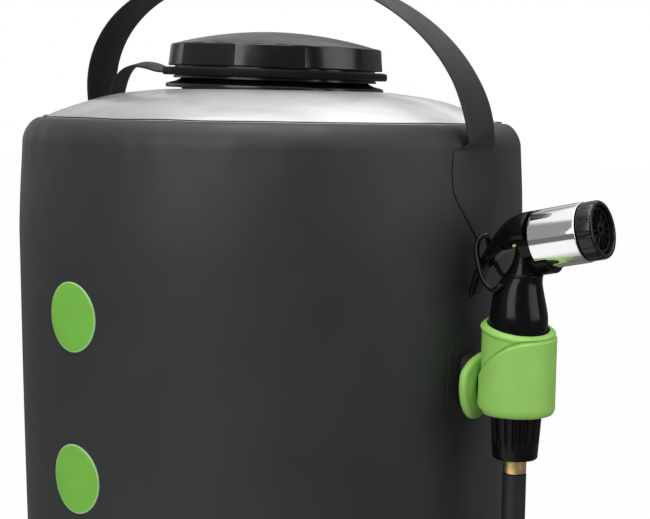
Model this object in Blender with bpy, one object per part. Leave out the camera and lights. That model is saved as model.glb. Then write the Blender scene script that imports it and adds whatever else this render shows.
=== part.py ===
"""Camp shower bag with a screw cap, a strap handle and a spray head in its holder.

Metres, +Z up. The origin lies on the bag's axis at the floor. The handle's hinge runs nearly
along X, and the spray head stands in its holder on the +X side. Sizes named below_edge and
above_edge are counted from the folded top edge of the wall, because everything hangs from it.
"""

import math

import bmesh
import bpy
from mathutils import Matrix, Vector

# Clearances shared by all pieces
gap = 0.0003
cut_over = 0.001
weld_distance = 0.000001

# Bag wall
bag_height = 0.360
bag_radius = 0.135
wall_thickness = 0.0012
widest_below_edge = 0.060
shoulder_draw_in = 0.002
shoulder_width = 0.0085
shoulder_drop = 0.012
shoulder_power = 1.65
bottom_draw_in = 0.0075
bottom_corner_width = 0.010
bottom_corner_rise = 0.012
bottom_fold_width = 0.007
bag_segments = 36

# Base panel and clear top panel
base_thickness = 0.002
top_panel_thickness = 0.001
top_panel_tuck = 0.003
dome_rise = 0.016
dome_edge_width = 0.0022
dome_power = 0.86

# Filler neck, which leans a little towards +X
neck_lean = math.radians(1.3)
neck_radius = 0.050
neck_wall = 0.005
neck_top_above_edge = 0.036
neck_flange_width = 0.0085
neck_flange_thickness = 0.0022
neck_tube_step = 0.0012
neck_tube_depth = 0.006
thread_depth = 0.0011
thread_width = 0.0022
thread_pitch = 0.0044
thread_rings = 2

# Screw cap, its seal and the loose ring round its skirt
cap_sides = 10
cap_overhang = 0.0075
cap_corner_turn = math.radians(-35.2)
cap_foot_above_edge = 0.0278
cap_side_height = 0.0115
cap_dome_draw_in = 0.0085
cap_dome_foot_rise = 0.0019
cap_dome_rise = 0.0079
cap_edge_round = 0.0009
cap_skirt_clearance = 0.0012
cap_skirt_wall = 0.0014
cap_skirt_drop = 0.0066
cap_bead_height = 0.0012
seal_thickness = 0.0018
ring_clearance = 0.0006
ring_wall = 0.006
ring_height = 0.0042

# Strap between the ring and the bag: reach as a share of the bag's radius, height as a share
# of its crest
tether_width = 0.012
tether_thickness = 0.0012
tether_crest_above_edge = 0.0318
tether_foot_length = 0.010
tether_route_shares = ((0.56, 0.865), (0.70, 0.92), (0.80, 1.0), (0.862, 0.93), (0.895, 0.60),
                       (0.898, 0.30))
tether_foot_share = 0.885

# Carry handle: a flat strap on two leaf patches
handle_width = 0.0218
handle_thickness = 0.0016
handle_rise = 0.085
handle_power = 2.2
handle_axis_below_edge = 0.004
handle_lean = math.radians(16.3)
handle_turn = math.radians(-2.5)
leaf_half_width = 0.0233
leaf_length = 0.052
leaf_top_below_edge = 0.005
leaf_thickness = 0.0008
leaf_width_shares = (
    (0.0, 0.52), (0.08, 0.74), (0.17, 0.90), (0.27, 0.985), (0.38, 1.0), (0.5, 0.955),
    (0.62, 0.82), (0.72, 0.65), (0.82, 0.44), (0.91, 0.24), (1.0, 0.0),
)

# Round discs in a row down the front
disc_radius = 0.0172
disc_thickness = 0.0005
disc_turn = math.radians(-96.0)
disc_pitch = 0.080
disc_top_below_edge = 0.095

# Holder on the wall
holder_turn = math.radians(-4.0)
holder_stand_off = 0.0275
patch_width = 0.030
patch_height = 0.040
patch_corner = 0.008
patch_thickness = 0.0008
pad_width = 0.022
pad_height = 0.030
wrap_radius = 0.0178
wrap_clearance = 0.0004
wrap_edge_round = 0.0012
wrap_foot_rise = 0.0005
wrap_top_below_edge = 0.0945
wrap_top_slope = 0.0035
wrap_top_turn = math.radians(153.0)
tongue_stand_off = 0.005
tongue_overlap = 0.0013
tongue_width = 0.033
tongue_height = 0.032
tongue_below_edge = 0.1225
tongue_power = 2.9

# Spray head, upright part. Stations: height as a share of the grip's height, then the forward
# shift, the half length and the half width as shares of its radius
head_turn = math.radians(3.6)
grip_radius = 0.0139
grip_foot_below_edge = 0.1367
grip_top_below_edge = 0.055
grip_station_shares = (
    (0.0, 0.0, 0.863, 0.863), (0.229, 0.0, 0.906, 0.906), (0.388, 0.0, 0.957, 0.957),
    (0.547, 0.0, 1.0, 1.0), (0.621, -0.007, 0.957, 0.964), (0.694, -0.022, 0.878, 0.892),
    (0.767, 0.029, 0.748, 0.777), (0.816, 0.137, 0.647, 0.676), (0.865, 0.204, 0.515, 0.604),
    (0.927, 0.246, 0.402, 0.561), (1.0, 0.275, 0.373, 0.532),
)
grip_segments = 24
grip_bore_radius = 0.004
grip_bore_top_below_edge = 0.080
riser_radius = 0.0026
riser_length = 0.0312
riser_forward = 0.0005
riser_lean = math.radians(12.7)
spigot_radius = 0.0085
spigot_length = 0.009

# Spray head, barrel: tilted up from the grip, with its length counted forward from its root
barrel_tilt = math.radians(12.3)
barrel_forward = 0.0102
barrel_below_edge = 0.0526
sleeve_radius = 0.01415
sleeve_wall = 0.003
sleeve_length = 0.024
sleeve_edge_round = 0.0005
core_back = 0.0085
core_back_chamfer = 0.0016
core_nose_radius = 0.0095
core_nose_length = 0.0033
pattern_ring_radius = 0.01375
pattern_ring_length = 0.008
pattern_ring_wall = 0.0023
pattern_ring_grooves = 12
pattern_groove_depth = 0.0008
insert_thickness = 0.0016
insert_rib_height = 0.0011
insert_rib_width = 0.0012
insert_ribs = 12
insert_hub_radius = 0.0032
insert_rim_width = 0.0014

# Valve inside the barrel
barrel_bore_radius = 0.0056
valve_seat_forward = 0.0048
valve_seat_thickness = 0.0012
valve_seat_bore_radius = 0.003
rear_chamber_radius = 0.0042
rear_chamber_back = 0.004
stem_radius = 0.002
stem_clearance = 0.0004
stem_front = 0.0195
stem_behind_core = 0.0076
stem_tip_round = 0.002
valve_head_radius = 0.005
valve_head_length = 0.0024
valve_seal_thickness = 0.0012
stem_seal_radius = 0.004
stem_seal_length = 0.0016
spring_radius = 0.004
spring_wire_radius = 0.00045
spring_turns = 5
spring_points_per_turn = 8
retainer_length = 0.002
retainer_bore_radius = 0.003

# Lever behind the barrel. Stations from its pin, as shares of its length: upper point, lower
# point, and the half width as a share of the widest
lever_length = 0.0476
lever_half_width = 0.0138
lever_station_shares = (
    (0.059, 0.144, 0.082, -0.171, 1.0), (-0.013, 0.123, 0.012, -0.180, 0.986),
    (-0.135, 0.060, -0.076, -0.205, 0.906), (-0.233, -0.028, -0.177, -0.251, 0.761),
    (-0.324, -0.133, -0.282, -0.310, 0.609), (-0.412, -0.259, -0.357, -0.360, 0.478),
    (-0.500, -0.402, -0.422, -0.440, 0.406), (-0.563, -0.537, -0.481, -0.554, 0.384),
    (-0.594, -0.675, -0.528, -0.684, 0.384), (-0.613, -0.764, -0.560, -0.772, 0.362),
)
lever_section_points = 18
lever_section_power = 4.0
lever_wall = 0.0016
lever_hollow_straight_back = 0.0065
lever_hollow_waist_back = 0.0112
lever_hollow_waist_radius = 0.0102
lever_hollow_end_radius = 0.0074
pin_radius = 0.0014
pin_half_length = 0.0114
pin_back = 0.005
pin_rise = 0.008

# Oval lock ring: its side route from the pivot as shares of its length, with the half width
# as a share of the full one
lock_length = 0.0267
lock_wire_radius = 0.0012
lock_half_width = 0.0112
lock_end_depth = 0.0028
lock_pivot_back = 0.0042
lock_pivot_share = 0.7613
lock_route_shares = (
    (-0.135, -0.075, 1.0), (-0.300, 0.011, 1.0), (-0.434, 0.187, 1.0), (-0.532, 0.393, 0.98),
    (-0.592, 0.599, 0.92), (-0.592, 0.749, 0.74), (-0.577, 0.816, 0.42), (-0.575, 0.826, 0.0),
)

# Hose nut, washer and hose tail under the grip
nut_top_radius = 0.0122
nut_bottom_radius = 0.0108
nut_length = 0.0208
nut_grooves = 20
nut_groove_depth = 0.0009
nut_smooth_foot = 0.0075
nut_floor = 0.0075
nut_floor_bore_radius = 0.006
nut_edge_round = 0.0006
tail_flange_radius = 0.0078
tail_flange_thickness = 0.0015
tail_radius = 0.0055
tail_bore_radius = 0.0035
tail_below_nut = 0.0074

# Hose and its coil, put away on the floor beside the bag
hose_radius = 0.00575
hose_drop_route = (
    (0.1621, -0.0113, 0.1945), (0.1621, -0.0113, 0.1830), (0.1621, -0.0113, 0.1300),
    (0.1621, -0.0113, 0.0900), (0.1621, -0.0113, 0.0646), (0.1656, -0.0113, 0.0469),
    (0.1756, -0.0113, 0.0320), (0.1905, -0.0113, 0.0221), (0.2081, -0.0113, 0.01855),
    (0.2132, -0.0113, 0.01855),
)
hose_return_route = (
    (0.2132, 0.1357, 0.00655), (0.2072, 0.1357, 0.00655), (0.1852, 0.1357, 0.0093),
    (0.1672, 0.1357, 0.0161), (0.1566, 0.1357, 0.0217), (0.1434, 0.1339, 0.0267),
    (0.1314, 0.1290, 0.0293), (0.1209, 0.1209, 0.0300), (0.1119, 0.1119, 0.0300),
    (0.1029, 0.1029, 0.0300),
)
hose_point_spacing = 0.023
coil_floor_lift = 0.0008
coil_centre = (0.2250, 0.0622)
coil_outer_radius = 0.0735
coil_turns_per_layer = 2
coil_points_per_turn = 24
coil_pitch = 0.0122
coil_layer_rise = 0.012
tie_width = 0.012
tie_thickness = 0.0005
tie_slack = 0.0009
tie_turn = math.radians(-8.0)

# Outlet low on the wall
outlet_turn = math.radians(45.0)
outlet_height = 0.030
outlet_flange_radius = 0.016
outlet_flange_thickness = 0.003
outlet_spigot_radius = 0.0072
outlet_spigot_length = 0.014
outlet_bore_radius = 0.004
clamp_wall = 0.0012
clamp_width = 0.007
clamp_clearance = 0.0005
clamp_from_end = 0.0025

top_edge = bag_height
neck_bore_radius = neck_radius - neck_wall
neck_flange_radius = neck_radius + neck_flange_width
cap_corner_radius = neck_radius + cap_overhang
cap_dome_foot_radius = cap_corner_radius - cap_dome_draw_in
cap_skirt_inner_radius = neck_radius + thread_depth + cap_skirt_clearance
cap_skirt_outer_radius = cap_skirt_inner_radius + cap_skirt_wall
ring_outer_radius = cap_skirt_outer_radius + ring_clearance + ring_wall
holder_reach = bag_radius + holder_stand_off
tongue_reach = bag_radius + tongue_stand_off
wrap_bottom_below_edge = grip_foot_below_edge - wrap_foot_rise
grip_height = grip_foot_below_edge - grip_top_below_edge
lock_pivot_below_edge = grip_foot_below_edge - grip_height * lock_pivot_share
square_on = (math.pi / 2, 0.0, 0.0)


def clear_scene():
    for item in list(bpy.data.objects):
        bpy.data.objects.remove(item, do_unlink=True)


def material(name, colour, roughness, metallic=0.0, transmission=0.0):
    result = bpy.data.materials.new(name)
    result.use_nodes = True
    shader = result.node_tree.nodes["Principled BSDF"]
    shader.inputs["Base Color"].default_value = (*colour, 1.0)
    shader.inputs["Roughness"].default_value = roughness
    shader.inputs["Metallic"].default_value = metallic
    shader.inputs["Transmission Weight"].default_value = transmission
    result.diffuse_color = (*colour, 1.0)
    return result


def frame(name, location, rotation=(0.0, 0.0, 0.0), parent=None):
    """An empty that holds the pieces of one group."""
    result = bpy.data.objects.new(name, None)
    bpy.context.scene.collection.objects.link(result)
    result.parent = parent
    result.location = location
    result.rotation_euler = rotation
    return result


def place(name, data, surface, parent=None, location=(0.0, 0.0, 0.0), rotation=(0.0, 0.0, 0.0)):
    result = bpy.data.objects.new(name, data)
    bpy.context.scene.collection.objects.link(result)
    result.parent = parent
    result.location = location
    result.rotation_euler = rotation
    if surface is not None:
        data.materials.append(surface)
    return result


def guide(name, data, parent=None, location=(0.0, 0.0, 0.0), rotation=(0.0, 0.0, 0.0)):
    """A cutter, or a shape to be joined on, which is no piece itself."""
    result = place(name, data, None, parent, location, rotation)
    result.hide_render = True
    result.display_type = "WIRE"
    return result


def combine(piece, operand, operation):
    step = piece.modifiers.new(operation.title(), "BOOLEAN")
    step.operation = operation
    step.solver = "EXACT"
    step.object = operand


def thicken(piece, thickness):
    """Gives a sheet its thickness, on the side that its faces look to."""
    step = piece.modifiers.new("Thickness", "SOLIDIFY")
    step.thickness = thickness
    step.offset = 1.0


def finished(bm, smooth_angle=math.radians(40.0)):
    result = bpy.data.meshes.new("shape")
    bm.to_mesh(result)
    bm.free()
    result.shade_smooth()
    result.set_sharp_from_angle(angle=smooth_angle)
    return result


def turned(profile, segments, closed=True):
    """A mesh spun about Z from (radius, height) points."""
    bm = bmesh.new()
    points = [bm.verts.new((radius, 0.0, height)) for radius, height in profile]
    lines = [bm.edges.new(pair) for pair in zip(points, points[1:])]
    if closed:
        lines.append(bm.edges.new((points[-1], points[0])))
    bmesh.ops.spin(bm, geom=points + lines, cent=(0.0, 0.0, 0.0), axis=(0.0, 0.0, 1.0),
                   angle=math.tau, steps=segments, use_merge=True)
    bmesh.ops.remove_doubles(bm, verts=bm.verts, dist=weld_distance)
    bmesh.ops.recalc_face_normals(bm, faces=bm.faces)
    return finished(bm)


def lofted(loops, ring=False, smooth_angle=math.radians(40.0)):
    """A closed mesh through loops of points, capped at both ends unless it forms a ring."""
    bm = bmesh.new()
    rows = [[bm.verts.new(point) for point in loop] for loop in loops]
    pairs = list(zip(rows, rows[1:]))
    if ring:
        pairs.append((rows[-1], rows[0]))
    for first, second in pairs:
        for index in range(len(first)):
            after = (index + 1) % len(first)
            bm.faces.new((first[index], first[after], second[after], second[index]))
    if not ring:
        bm.faces.new(rows[0])
        bm.faces.new(rows[-1])
    bmesh.ops.recalc_face_normals(bm, faces=bm.faces)
    return finished(bm, smooth_angle)


def sheet(rows):
    """An open mesh through rows of points, whose faces look away from the bag's axis."""
    bm = bmesh.new()
    grid = [[bm.verts.new(point) for point in row] for row in rows]
    for lower, upper in zip(grid, grid[1:]):
        for index in range(len(lower) - 1):
            bm.faces.new((lower[index], lower[index + 1], upper[index + 1], upper[index]))
    bmesh.ops.remove_doubles(bm, verts=bm.verts, dist=weld_distance)
    bm.normal_update()
    outward = sum(face.normal.x * face.calc_center_median().x
                  + face.normal.y * face.calc_center_median().y for face in bm.faces)
    if outward < 0.0:
        bmesh.ops.reverse_faces(bm, faces=bm.faces)
    return finished(bm)


def cylinder(radius, length, segments, start=0.0):
    """A cylinder along Z that begins at the height start."""
    bm = bmesh.new()
    bmesh.ops.create_cone(bm, cap_ends=True, segments=segments, radius1=radius, radius2=radius,
                          depth=length, matrix=Matrix.Translation((0.0, 0.0, start + length / 2)))
    return finished(bm)


def block(size, centre):
    bm = bmesh.new()
    bmesh.ops.create_cube(bm, size=1.0,
                          matrix=Matrix.Translation(centre) @ Matrix.Diagonal((*size, 1.0)))
    return finished(bm)


def tube(points, radius, resolution):
    """A curve along points, with a round section and closed ends."""
    result = bpy.data.curves.new("route", "CURVE")
    result.dimensions = "3D"
    result.bevel_depth = radius
    result.bevel_resolution = resolution
    result.use_fill_caps = True
    line = result.splines.new("POLY")
    line.points.add(len(points) - 1)
    for target, point in zip(line.points, points):
        target.co = (*point, 1.0)
    return result


def route_length(points):
    return sum((second - first).length for first, second in zip(points, points[1:]))


def smooth_route(points, spacing):
    """Evenly spaced points of a smooth curve through the route's own points."""
    knots = [Vector(point) for point in points]
    knots = [2 * knots[0] - knots[1]] + knots + [2 * knots[-1] - knots[-2]]
    steps = 24
    fine = []
    for before, start, end, after in zip(knots, knots[1:], knots[2:], knots[3:]):
        for step in range(steps):
            t = step / steps
            fine.append(0.5 * (2 * start + (end - before) * t
                               + (2 * before - 5 * start + 4 * end - after) * t ** 2
                               + (3 * start - before - 3 * end + after) * t ** 3))
    fine.append(knots[-2])
    total = route_length(fine)
    count = round(total / spacing)
    result = [fine[0]]
    walked = 0.0
    for first, second in zip(fine, fine[1:]):
        length = (second - first).length
        while len(result) < count and walked + length >= total * len(result) / count:
            result.append(first.lerp(second, (total * len(result) / count - walked) / length))
        walked += length
    result.append(fine[-1])
    return result


def polar(radius, angle, height):
    return (radius * math.cos(angle), radius * math.sin(angle), height)


def signed_power(value, power):
    return math.copysign(abs(value) ** power, value)


def round_solid(sections, segments):
    """A solid with flat ends through circles of (radius, height)."""
    return lofted([[polar(radius, math.tau * index / segments, height)
                    for index in range(segments)] for radius, height in sections])


def shoulder_fall(radius):
    """How far the folded edge has come down at a radius between its lip and the wall."""
    out = (radius - (bag_radius - shoulder_draw_in - shoulder_width)) / shoulder_width
    return shoulder_drop * (1 - (1 - out ** shoulder_power) ** (1 / shoulder_power))


def wall_profile():
    """The wall's outer side, from the lip of its folded edge down to the fold at the bottom."""
    lip_radius = bag_radius - shoulder_draw_in - shoulder_width
    steps = 4
    points = []
    for step in range(steps + 1):
        turn = math.pi / 2 * step / steps
        out = math.sin(turn) ** (2 / shoulder_power)
        points.append((lip_radius + shoulder_width * out,
                       top_edge - shoulder_drop * (1 - math.cos(turn) ** (2 / shoulder_power))))
    for step in range(1, steps):
        share = step / (steps - 1)
        points.append((bag_radius - shoulder_draw_in * (1 - math.sin(math.pi / 2 * share)),
                       top_edge - shoulder_drop - (widest_below_edge - shoulder_drop) * share))
    corner_top = base_thickness + gap + bottom_corner_rise
    for step in range(steps + 1):
        turn = math.pi / 2 * step / steps
        points.append((bag_radius - bottom_draw_in - bottom_corner_width * (1 - math.cos(turn)),
                       corner_top - bottom_corner_rise * math.sin(turn)))
    foot_radius, foot_height = points[-1]
    points.append((foot_radius - bottom_fold_width, foot_height))
    return points


def wall_radius(height):
    """The wall's outer radius at a height between its two folds."""
    points = wall_profile()
    for (upper_radius, upper), (lower_radius, lower) in zip(points, points[1:]):
        if lower <= height < upper:
            share = (height - lower) / (upper - lower)
            return lower_radius + (upper_radius - lower_radius) * share
    return bag_radius


def shifted(profile, distance):
    """A profile that runs down its outer side, moved inwards square to its own line."""
    result = []
    for index, (radius, height) in enumerate(profile):
        before = profile[max(index - 1, 0)]
        after = profile[min(index + 1, len(profile) - 1)]
        along = Vector((after[0] - before[0], after[1] - before[1])).normalized()
        result.append((radius + along.y * distance, height - along.x * distance))
    return result


def wall_patch(outline, turn, columns):
    """A sheet just off the wall, from rows of (height, half width) about an angle."""
    rows = []
    for height, half_width in outline:
        radius = wall_radius(height) + gap
        rows.append([polar(radius, turn + half_width * (2 * column / columns - 1) / radius, height)
                     for column in range(columns + 1)])
    return sheet(rows)


def dome_height(radius):
    """Height of the clear panel's upper side at a radius, from its welded rim to its hole."""
    rim = bag_radius - shoulder_draw_in - shoulder_width - dome_edge_width
    low = top_edge - wall_thickness - gap + dome_edge_width / 2
    inward = (rim - radius) / (rim - neck_radius - gap)
    return low + (top_edge + dome_rise - low) * math.sin(math.pi / 2 * inward ** dome_power)


def dome_profile():
    """Upper side of the clear panel from its tucked rim to its hole."""
    lip_radius = bag_radius - shoulder_draw_in - shoulder_width
    under_fold = top_edge - wall_thickness - gap
    rim = lip_radius + top_panel_tuck
    points = [(rim, under_fold - shoulder_fall(rim) - gap), (lip_radius, under_fold)]
    steps = 5
    first = lip_radius - dome_edge_width
    last = neck_radius + gap
    for step in range(steps + 1):
        radius = first + (last - first) * step / steps
        points.append((radius, dome_height(radius)))
    return points


def make_bag(materials):
    profile = wall_profile()
    shell = turned(profile + shifted(profile, wall_thickness)[::-1], bag_segments)
    wall = place("bag_wall", shell, materials["charcoal"])
    hole = cylinder(outlet_bore_radius, bag_radius * 2, 16)
    combine(wall, guide("outlet_hole", hole, None, (0.0, 0.0, outlet_height),
                        (0.0, math.pi / 2, outlet_turn)), "DIFFERENCE")

    foot_radius = profile[-2][0]
    place("base_panel", cylinder(foot_radius, base_thickness, bag_segments), materials["black"])

    outer = dome_profile()
    under = [(radius, height - top_panel_thickness) for radius, height in outer]
    place("top_panel", turned(outer + under[::-1], bag_segments), materials["clear"])


def make_neck(materials, lean):
    flange_top = dome_rise + gap + neck_flange_thickness
    flange_foot = dome_rise - neck_flange_thickness
    tube_radius = neck_radius - neck_tube_step
    tube_foot = dome_rise - neck_tube_depth
    profile = [(neck_bore_radius, neck_top_above_edge), (neck_radius, neck_top_above_edge)]
    crest = neck_radius + thread_depth
    for index in reversed(range(thread_rings)):
        low = cap_foot_above_edge + thread_pitch * index - thread_width
        profile += [(neck_radius, low + thread_width), (crest, low + thread_width * 0.75),
                    (crest, low + thread_width * 0.25), (neck_radius, low)]
    profile += [
        (neck_radius, flange_top), (neck_flange_radius, flange_top),
        (neck_flange_radius, flange_foot), (tube_radius, flange_foot),
        (tube_radius, tube_foot), (neck_bore_radius, tube_foot),
    ]
    neck = place("filler_neck", turned(profile, bag_segments), materials["gloss"], lean)

    seat_radius = neck_flange_radius + neck_tube_step
    hole = neck_radius + gap
    inner = tube_radius + neck_tube_step / 2
    seat_foot = top_edge + tube_foot - cut_over
    steps = 2
    seat = []
    for step in range(steps + 1):
        radius = seat_radius + (hole - seat_radius) * step / steps
        seat.append((radius, dome_height(radius) + gap))
    seat += [(inner, seat[-1][1]), (inner, seat_foot), (seat_radius, seat_foot)]
    combine(neck, guide("panel_seat", turned(seat, bag_segments)), "DIFFERENCE")


def cap_loop(radius, height, faceted):
    """One level of the cap, round or with the cap's flat sides."""
    steps_per_side = 4
    width = math.tau / cap_sides
    points = []
    for index in range(cap_sides * steps_per_side):
        from_middle = (index % steps_per_side / steps_per_side - 0.5) * width
        flat = math.cos(width / 2) / math.cos(from_middle) if faceted else 1.0
        turn = width * index / steps_per_side + cap_corner_turn
        points.append(polar(radius * flat, turn, height))
    return points


def make_cap(materials, lean):
    seal_foot = neck_top_above_edge + gap
    seal_top = seal_foot + seal_thickness
    seal = [(neck_bore_radius, seal_top), (neck_radius, seal_top), (neck_radius, seal_foot),
            (neck_bore_radius, seal_foot)]
    place("cap_seal", turned(seal, bag_segments), materials["rubber"], lean)

    skirt_inner = cap_skirt_inner_radius
    skirt_outer = cap_skirt_outer_radius
    skirt_foot = cap_foot_above_edge - cap_skirt_drop
    bead_top = skirt_foot + cap_bead_height
    side_top = cap_foot_above_edge + cap_side_height
    dome_foot = side_top + cap_dome_foot_rise
    dome_top = side_top + cap_dome_rise
    roof_foot = seal_top + gap
    crown_steps = 4
    loops = []
    for step in range(1, crown_steps + 1):
        turn = math.pi / 2 * step / crown_steps
        loops.append(cap_loop(cap_dome_foot_radius * math.sqrt(1 - math.cos(turn)),
                              dome_foot + (dome_top - dome_foot) * math.cos(turn), False))
    loops += [
        cap_loop(cap_corner_radius - cap_edge_round, side_top, True),
        cap_loop(cap_corner_radius, side_top - cap_edge_round, True),
        cap_loop(cap_corner_radius, cap_foot_above_edge, True),
        cap_loop(skirt_outer, cap_foot_above_edge, False),
        cap_loop(skirt_outer, bead_top, False),
        cap_loop(skirt_outer + cap_edge_round, bead_top, False),
        cap_loop(skirt_outer + cap_edge_round, skirt_foot, False),
        cap_loop(skirt_inner, skirt_foot, False),
        cap_loop(skirt_inner, roof_foot, False),
    ]
    place("screw_cap", lofted(loops, smooth_angle=math.radians(14.0)), materials["gloss"], lean)

    ring_bore = skirt_outer + ring_clearance
    ring_foot = bead_top + gap
    ring_top = ring_foot + ring_height
    soft_radius = ring_outer_radius - cap_edge_round
    ring = [(ring_bore, ring_top), (soft_radius, ring_top),
            (ring_outer_radius, ring_top - cap_edge_round),
            (ring_outer_radius, ring_foot + cap_edge_round), (soft_radius, ring_foot),
            (ring_bore, ring_foot)]
    place("tether_ring", turned(ring, bag_segments), materials["black"], lean)
    return (ring_foot + ring_top) / 2


def band_loops(path, half_widths, thickness):
    """Sections of a flat strap: its path lies in the XZ plane and its width runs along Y."""
    loops = []
    for index, point in enumerate(path):
        before = Vector(path[max(index - 1, 0)])
        after = Vector(path[min(index + 1, len(path) - 1)])
        along = (after - before).normalized()
        up = Vector((along.z, 0.0, -along.x)) * thickness / 2
        half = half_widths[index]
        inner = half - min(thickness, half) / 3
        loops.append([Vector(point) + Vector((0.0, y, 0.0)) + up * lift for y, lift in (
            (-inner, -1.0), (inner, -1.0), (half, -0.4), (half, 0.4), (inner, 1.0),
            (-inner, 1.0), (-half, 0.4), (-half, -0.4))])
    return loops


def make_tether(materials, ring_middle):
    start_x = ring_middle * math.sin(neck_lean) - ring_outer_radius * math.cos(neck_lean) - gap
    start_z = top_edge + ring_middle * math.cos(neck_lean) + ring_outer_radius * math.sin(neck_lean)
    lift = tether_thickness / 2 + 2 * gap
    foot = bag_radius * tether_foot_share
    foot_end = foot - tether_foot_length
    route = [(start_x, 0.0, start_z)]
    for reach_share, height_share in tether_route_shares:
        route.append((-bag_radius * reach_share, 0.0,
                      top_edge + tether_crest_above_edge * height_share))
    route += [(-foot, 0.0, dome_height(foot) + lift + tether_thickness),
              (-foot_end, 0.0, dome_height(foot_end) + lift)]
    path = smooth_route(route, tether_width / 3)
    loops = band_loops(path, [tether_width / 2] * len(path), tether_thickness)
    place("cap_tether", lofted(loops), materials["charcoal"])


def make_handle(materials):
    lean = frame("handle_frame", (0.0, 0.0, top_edge - handle_axis_below_edge),
                 (handle_lean, 0.0, handle_turn))
    reach = bag_radius - shoulder_draw_in + leaf_thickness + 3 * gap + handle_thickness / 2
    end = handle_width / 2
    tab_steps = 5
    arch_steps = 30
    tab = []
    tab_widths = []
    for step in range(tab_steps):
        turn = math.pi / 2 * (step + 0.3) / (tab_steps + 0.3)
        tab.append((reach, 0.0, -end * math.cos(turn)))
        tab_widths.append(end * math.sin(turn))
    arch = []
    for step in range(arch_steps + 1):
        turn = math.pi * step / arch_steps
        arch.append((reach * signed_power(math.cos(turn), 2 / handle_power), 0.0,
                     handle_rise * abs(math.sin(turn)) ** (2 / handle_power)))
    other_tab = [(-x, y, z) for x, y, z in tab[::-1]]
    path = tab + arch + other_tab
    widths = tab_widths + [end] * len(arch) + tab_widths[::-1]
    place("carry_handle", lofted(band_loops(path, widths, handle_thickness)),
          materials["charcoal"], lean)

    leaf_top = top_edge - leaf_top_below_edge
    outline = [(leaf_top - share * leaf_length, leaf_half_width * width_share)
               for share, width_share in leaf_width_shares]
    for name, turn in (("handle_patch_right", 0.0), ("handle_patch_left", math.pi)):
        leaf = place(name, wall_patch(outline, turn, 8), materials["charcoal"])
        thicken(leaf, leaf_thickness)


def make_discs(materials):
    rows = 10
    for index, name in enumerate(("disc_upper", "disc_middle", "disc_lower")):
        centre = top_edge - disc_top_below_edge - disc_pitch * index
        outline = []
        for row in range(rows + 1):
            turn = math.pi * row / rows
            outline.append((centre + disc_radius * math.cos(turn), disc_radius * math.sin(turn)))
        disc = place(name, wall_patch(outline, disc_turn, 6), materials["green"])
        thicken(disc, disc_thickness)


def grip_radius_at(below_edge):
    """The grip's radius at a depth below the edge, where the holder carries it."""
    at = (grip_foot_below_edge - below_edge) / grip_height
    for low, high in zip(grip_station_shares, grip_station_shares[1:]):
        if low[0] <= at < high[0]:
            share = (at - low[0]) / (high[0] - low[0])
            return grip_radius * (low[2] + (high[2] - low[2]) * share)
    return grip_radius


def make_holder(materials):
    base = frame("holder_frame", (0.0, 0.0, 0.0), (0.0, 0.0, holder_turn))
    middle = top_edge - tongue_below_edge
    steps = 4
    corner = []
    for step in range(steps + 1):
        turn = math.pi / 2 * step / steps
        corner.append((patch_height / 2 - patch_corner * (1 - math.cos(turn)),
                       patch_width / 2 - patch_corner * (1 - math.sin(turn))))
    outline = [(middle + rise, half_width) for rise, half_width in corner]
    outline += [(middle - rise, half_width) for rise, half_width in corner[::-1]]
    patch = place("holder_patch", wall_patch(outline, holder_turn, 6), materials["charcoal"])
    thicken(patch, patch_thickness)

    pad_front = tongue_reach - gap
    pad_low = middle - pad_height / 2
    pad_high = middle + pad_height / 2
    pad_back = wall_radius(pad_high) + patch_thickness + 3 * gap
    pad_loops = []
    pad_steps = 6
    for height in (pad_low, pad_high):
        loop = [(pad_front, pad_width / 2, height), (pad_front, -pad_width / 2, height)]
        for step in range(pad_steps + 1):
            y = pad_width * (step / pad_steps - 0.5)
            loop.append((math.sqrt(pad_back ** 2 - y ** 2), y, height))
        pad_loops.append(loop)
    place("holder_pad", lofted(pad_loops), materials["black"], base)

    around = 32
    bore_steps = 5
    bottom = top_edge - wrap_bottom_below_edge
    loops = []
    for index in range(around):
        turn = math.tau * index / around
        rim_below = wrap_top_below_edge - wrap_top_slope * math.cos(turn - wrap_top_turn)
        rim = top_edge - rim_below
        soft_radius = wrap_radius - wrap_edge_round
        section = [(soft_radius, bottom), (wrap_radius, bottom + wrap_edge_round),
                   (wrap_radius, rim - wrap_edge_round), (soft_radius, rim)]
        for step in range(bore_steps + 1):
            below = rim_below + (wrap_bottom_below_edge - rim_below) * step / bore_steps
            section.append((grip_radius_at(below) + wrap_clearance, top_edge - below))
        loops.append([(holder_reach + radius * math.cos(turn), radius * math.sin(turn), height)
                      for radius, height in section])
    wrap = place("holder_wrap", lofted(loops, ring=True), materials["green"], base)

    tongue_points = 20
    tongue_loops = []
    for x in (tongue_reach, holder_reach - wrap_radius + tongue_overlap):
        loop = []
        for index in range(tongue_points):
            turn = math.tau * index / tongue_points
            loop.append((x, tongue_width / 2 * signed_power(math.cos(turn), 2 / tongue_power),
                         middle + tongue_height / 2
                         * signed_power(math.sin(turn), 2 / tongue_power)))
        tongue_loops.append(loop)
    combine(wrap, guide("tongue", lofted(tongue_loops), base), "UNION")


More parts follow.
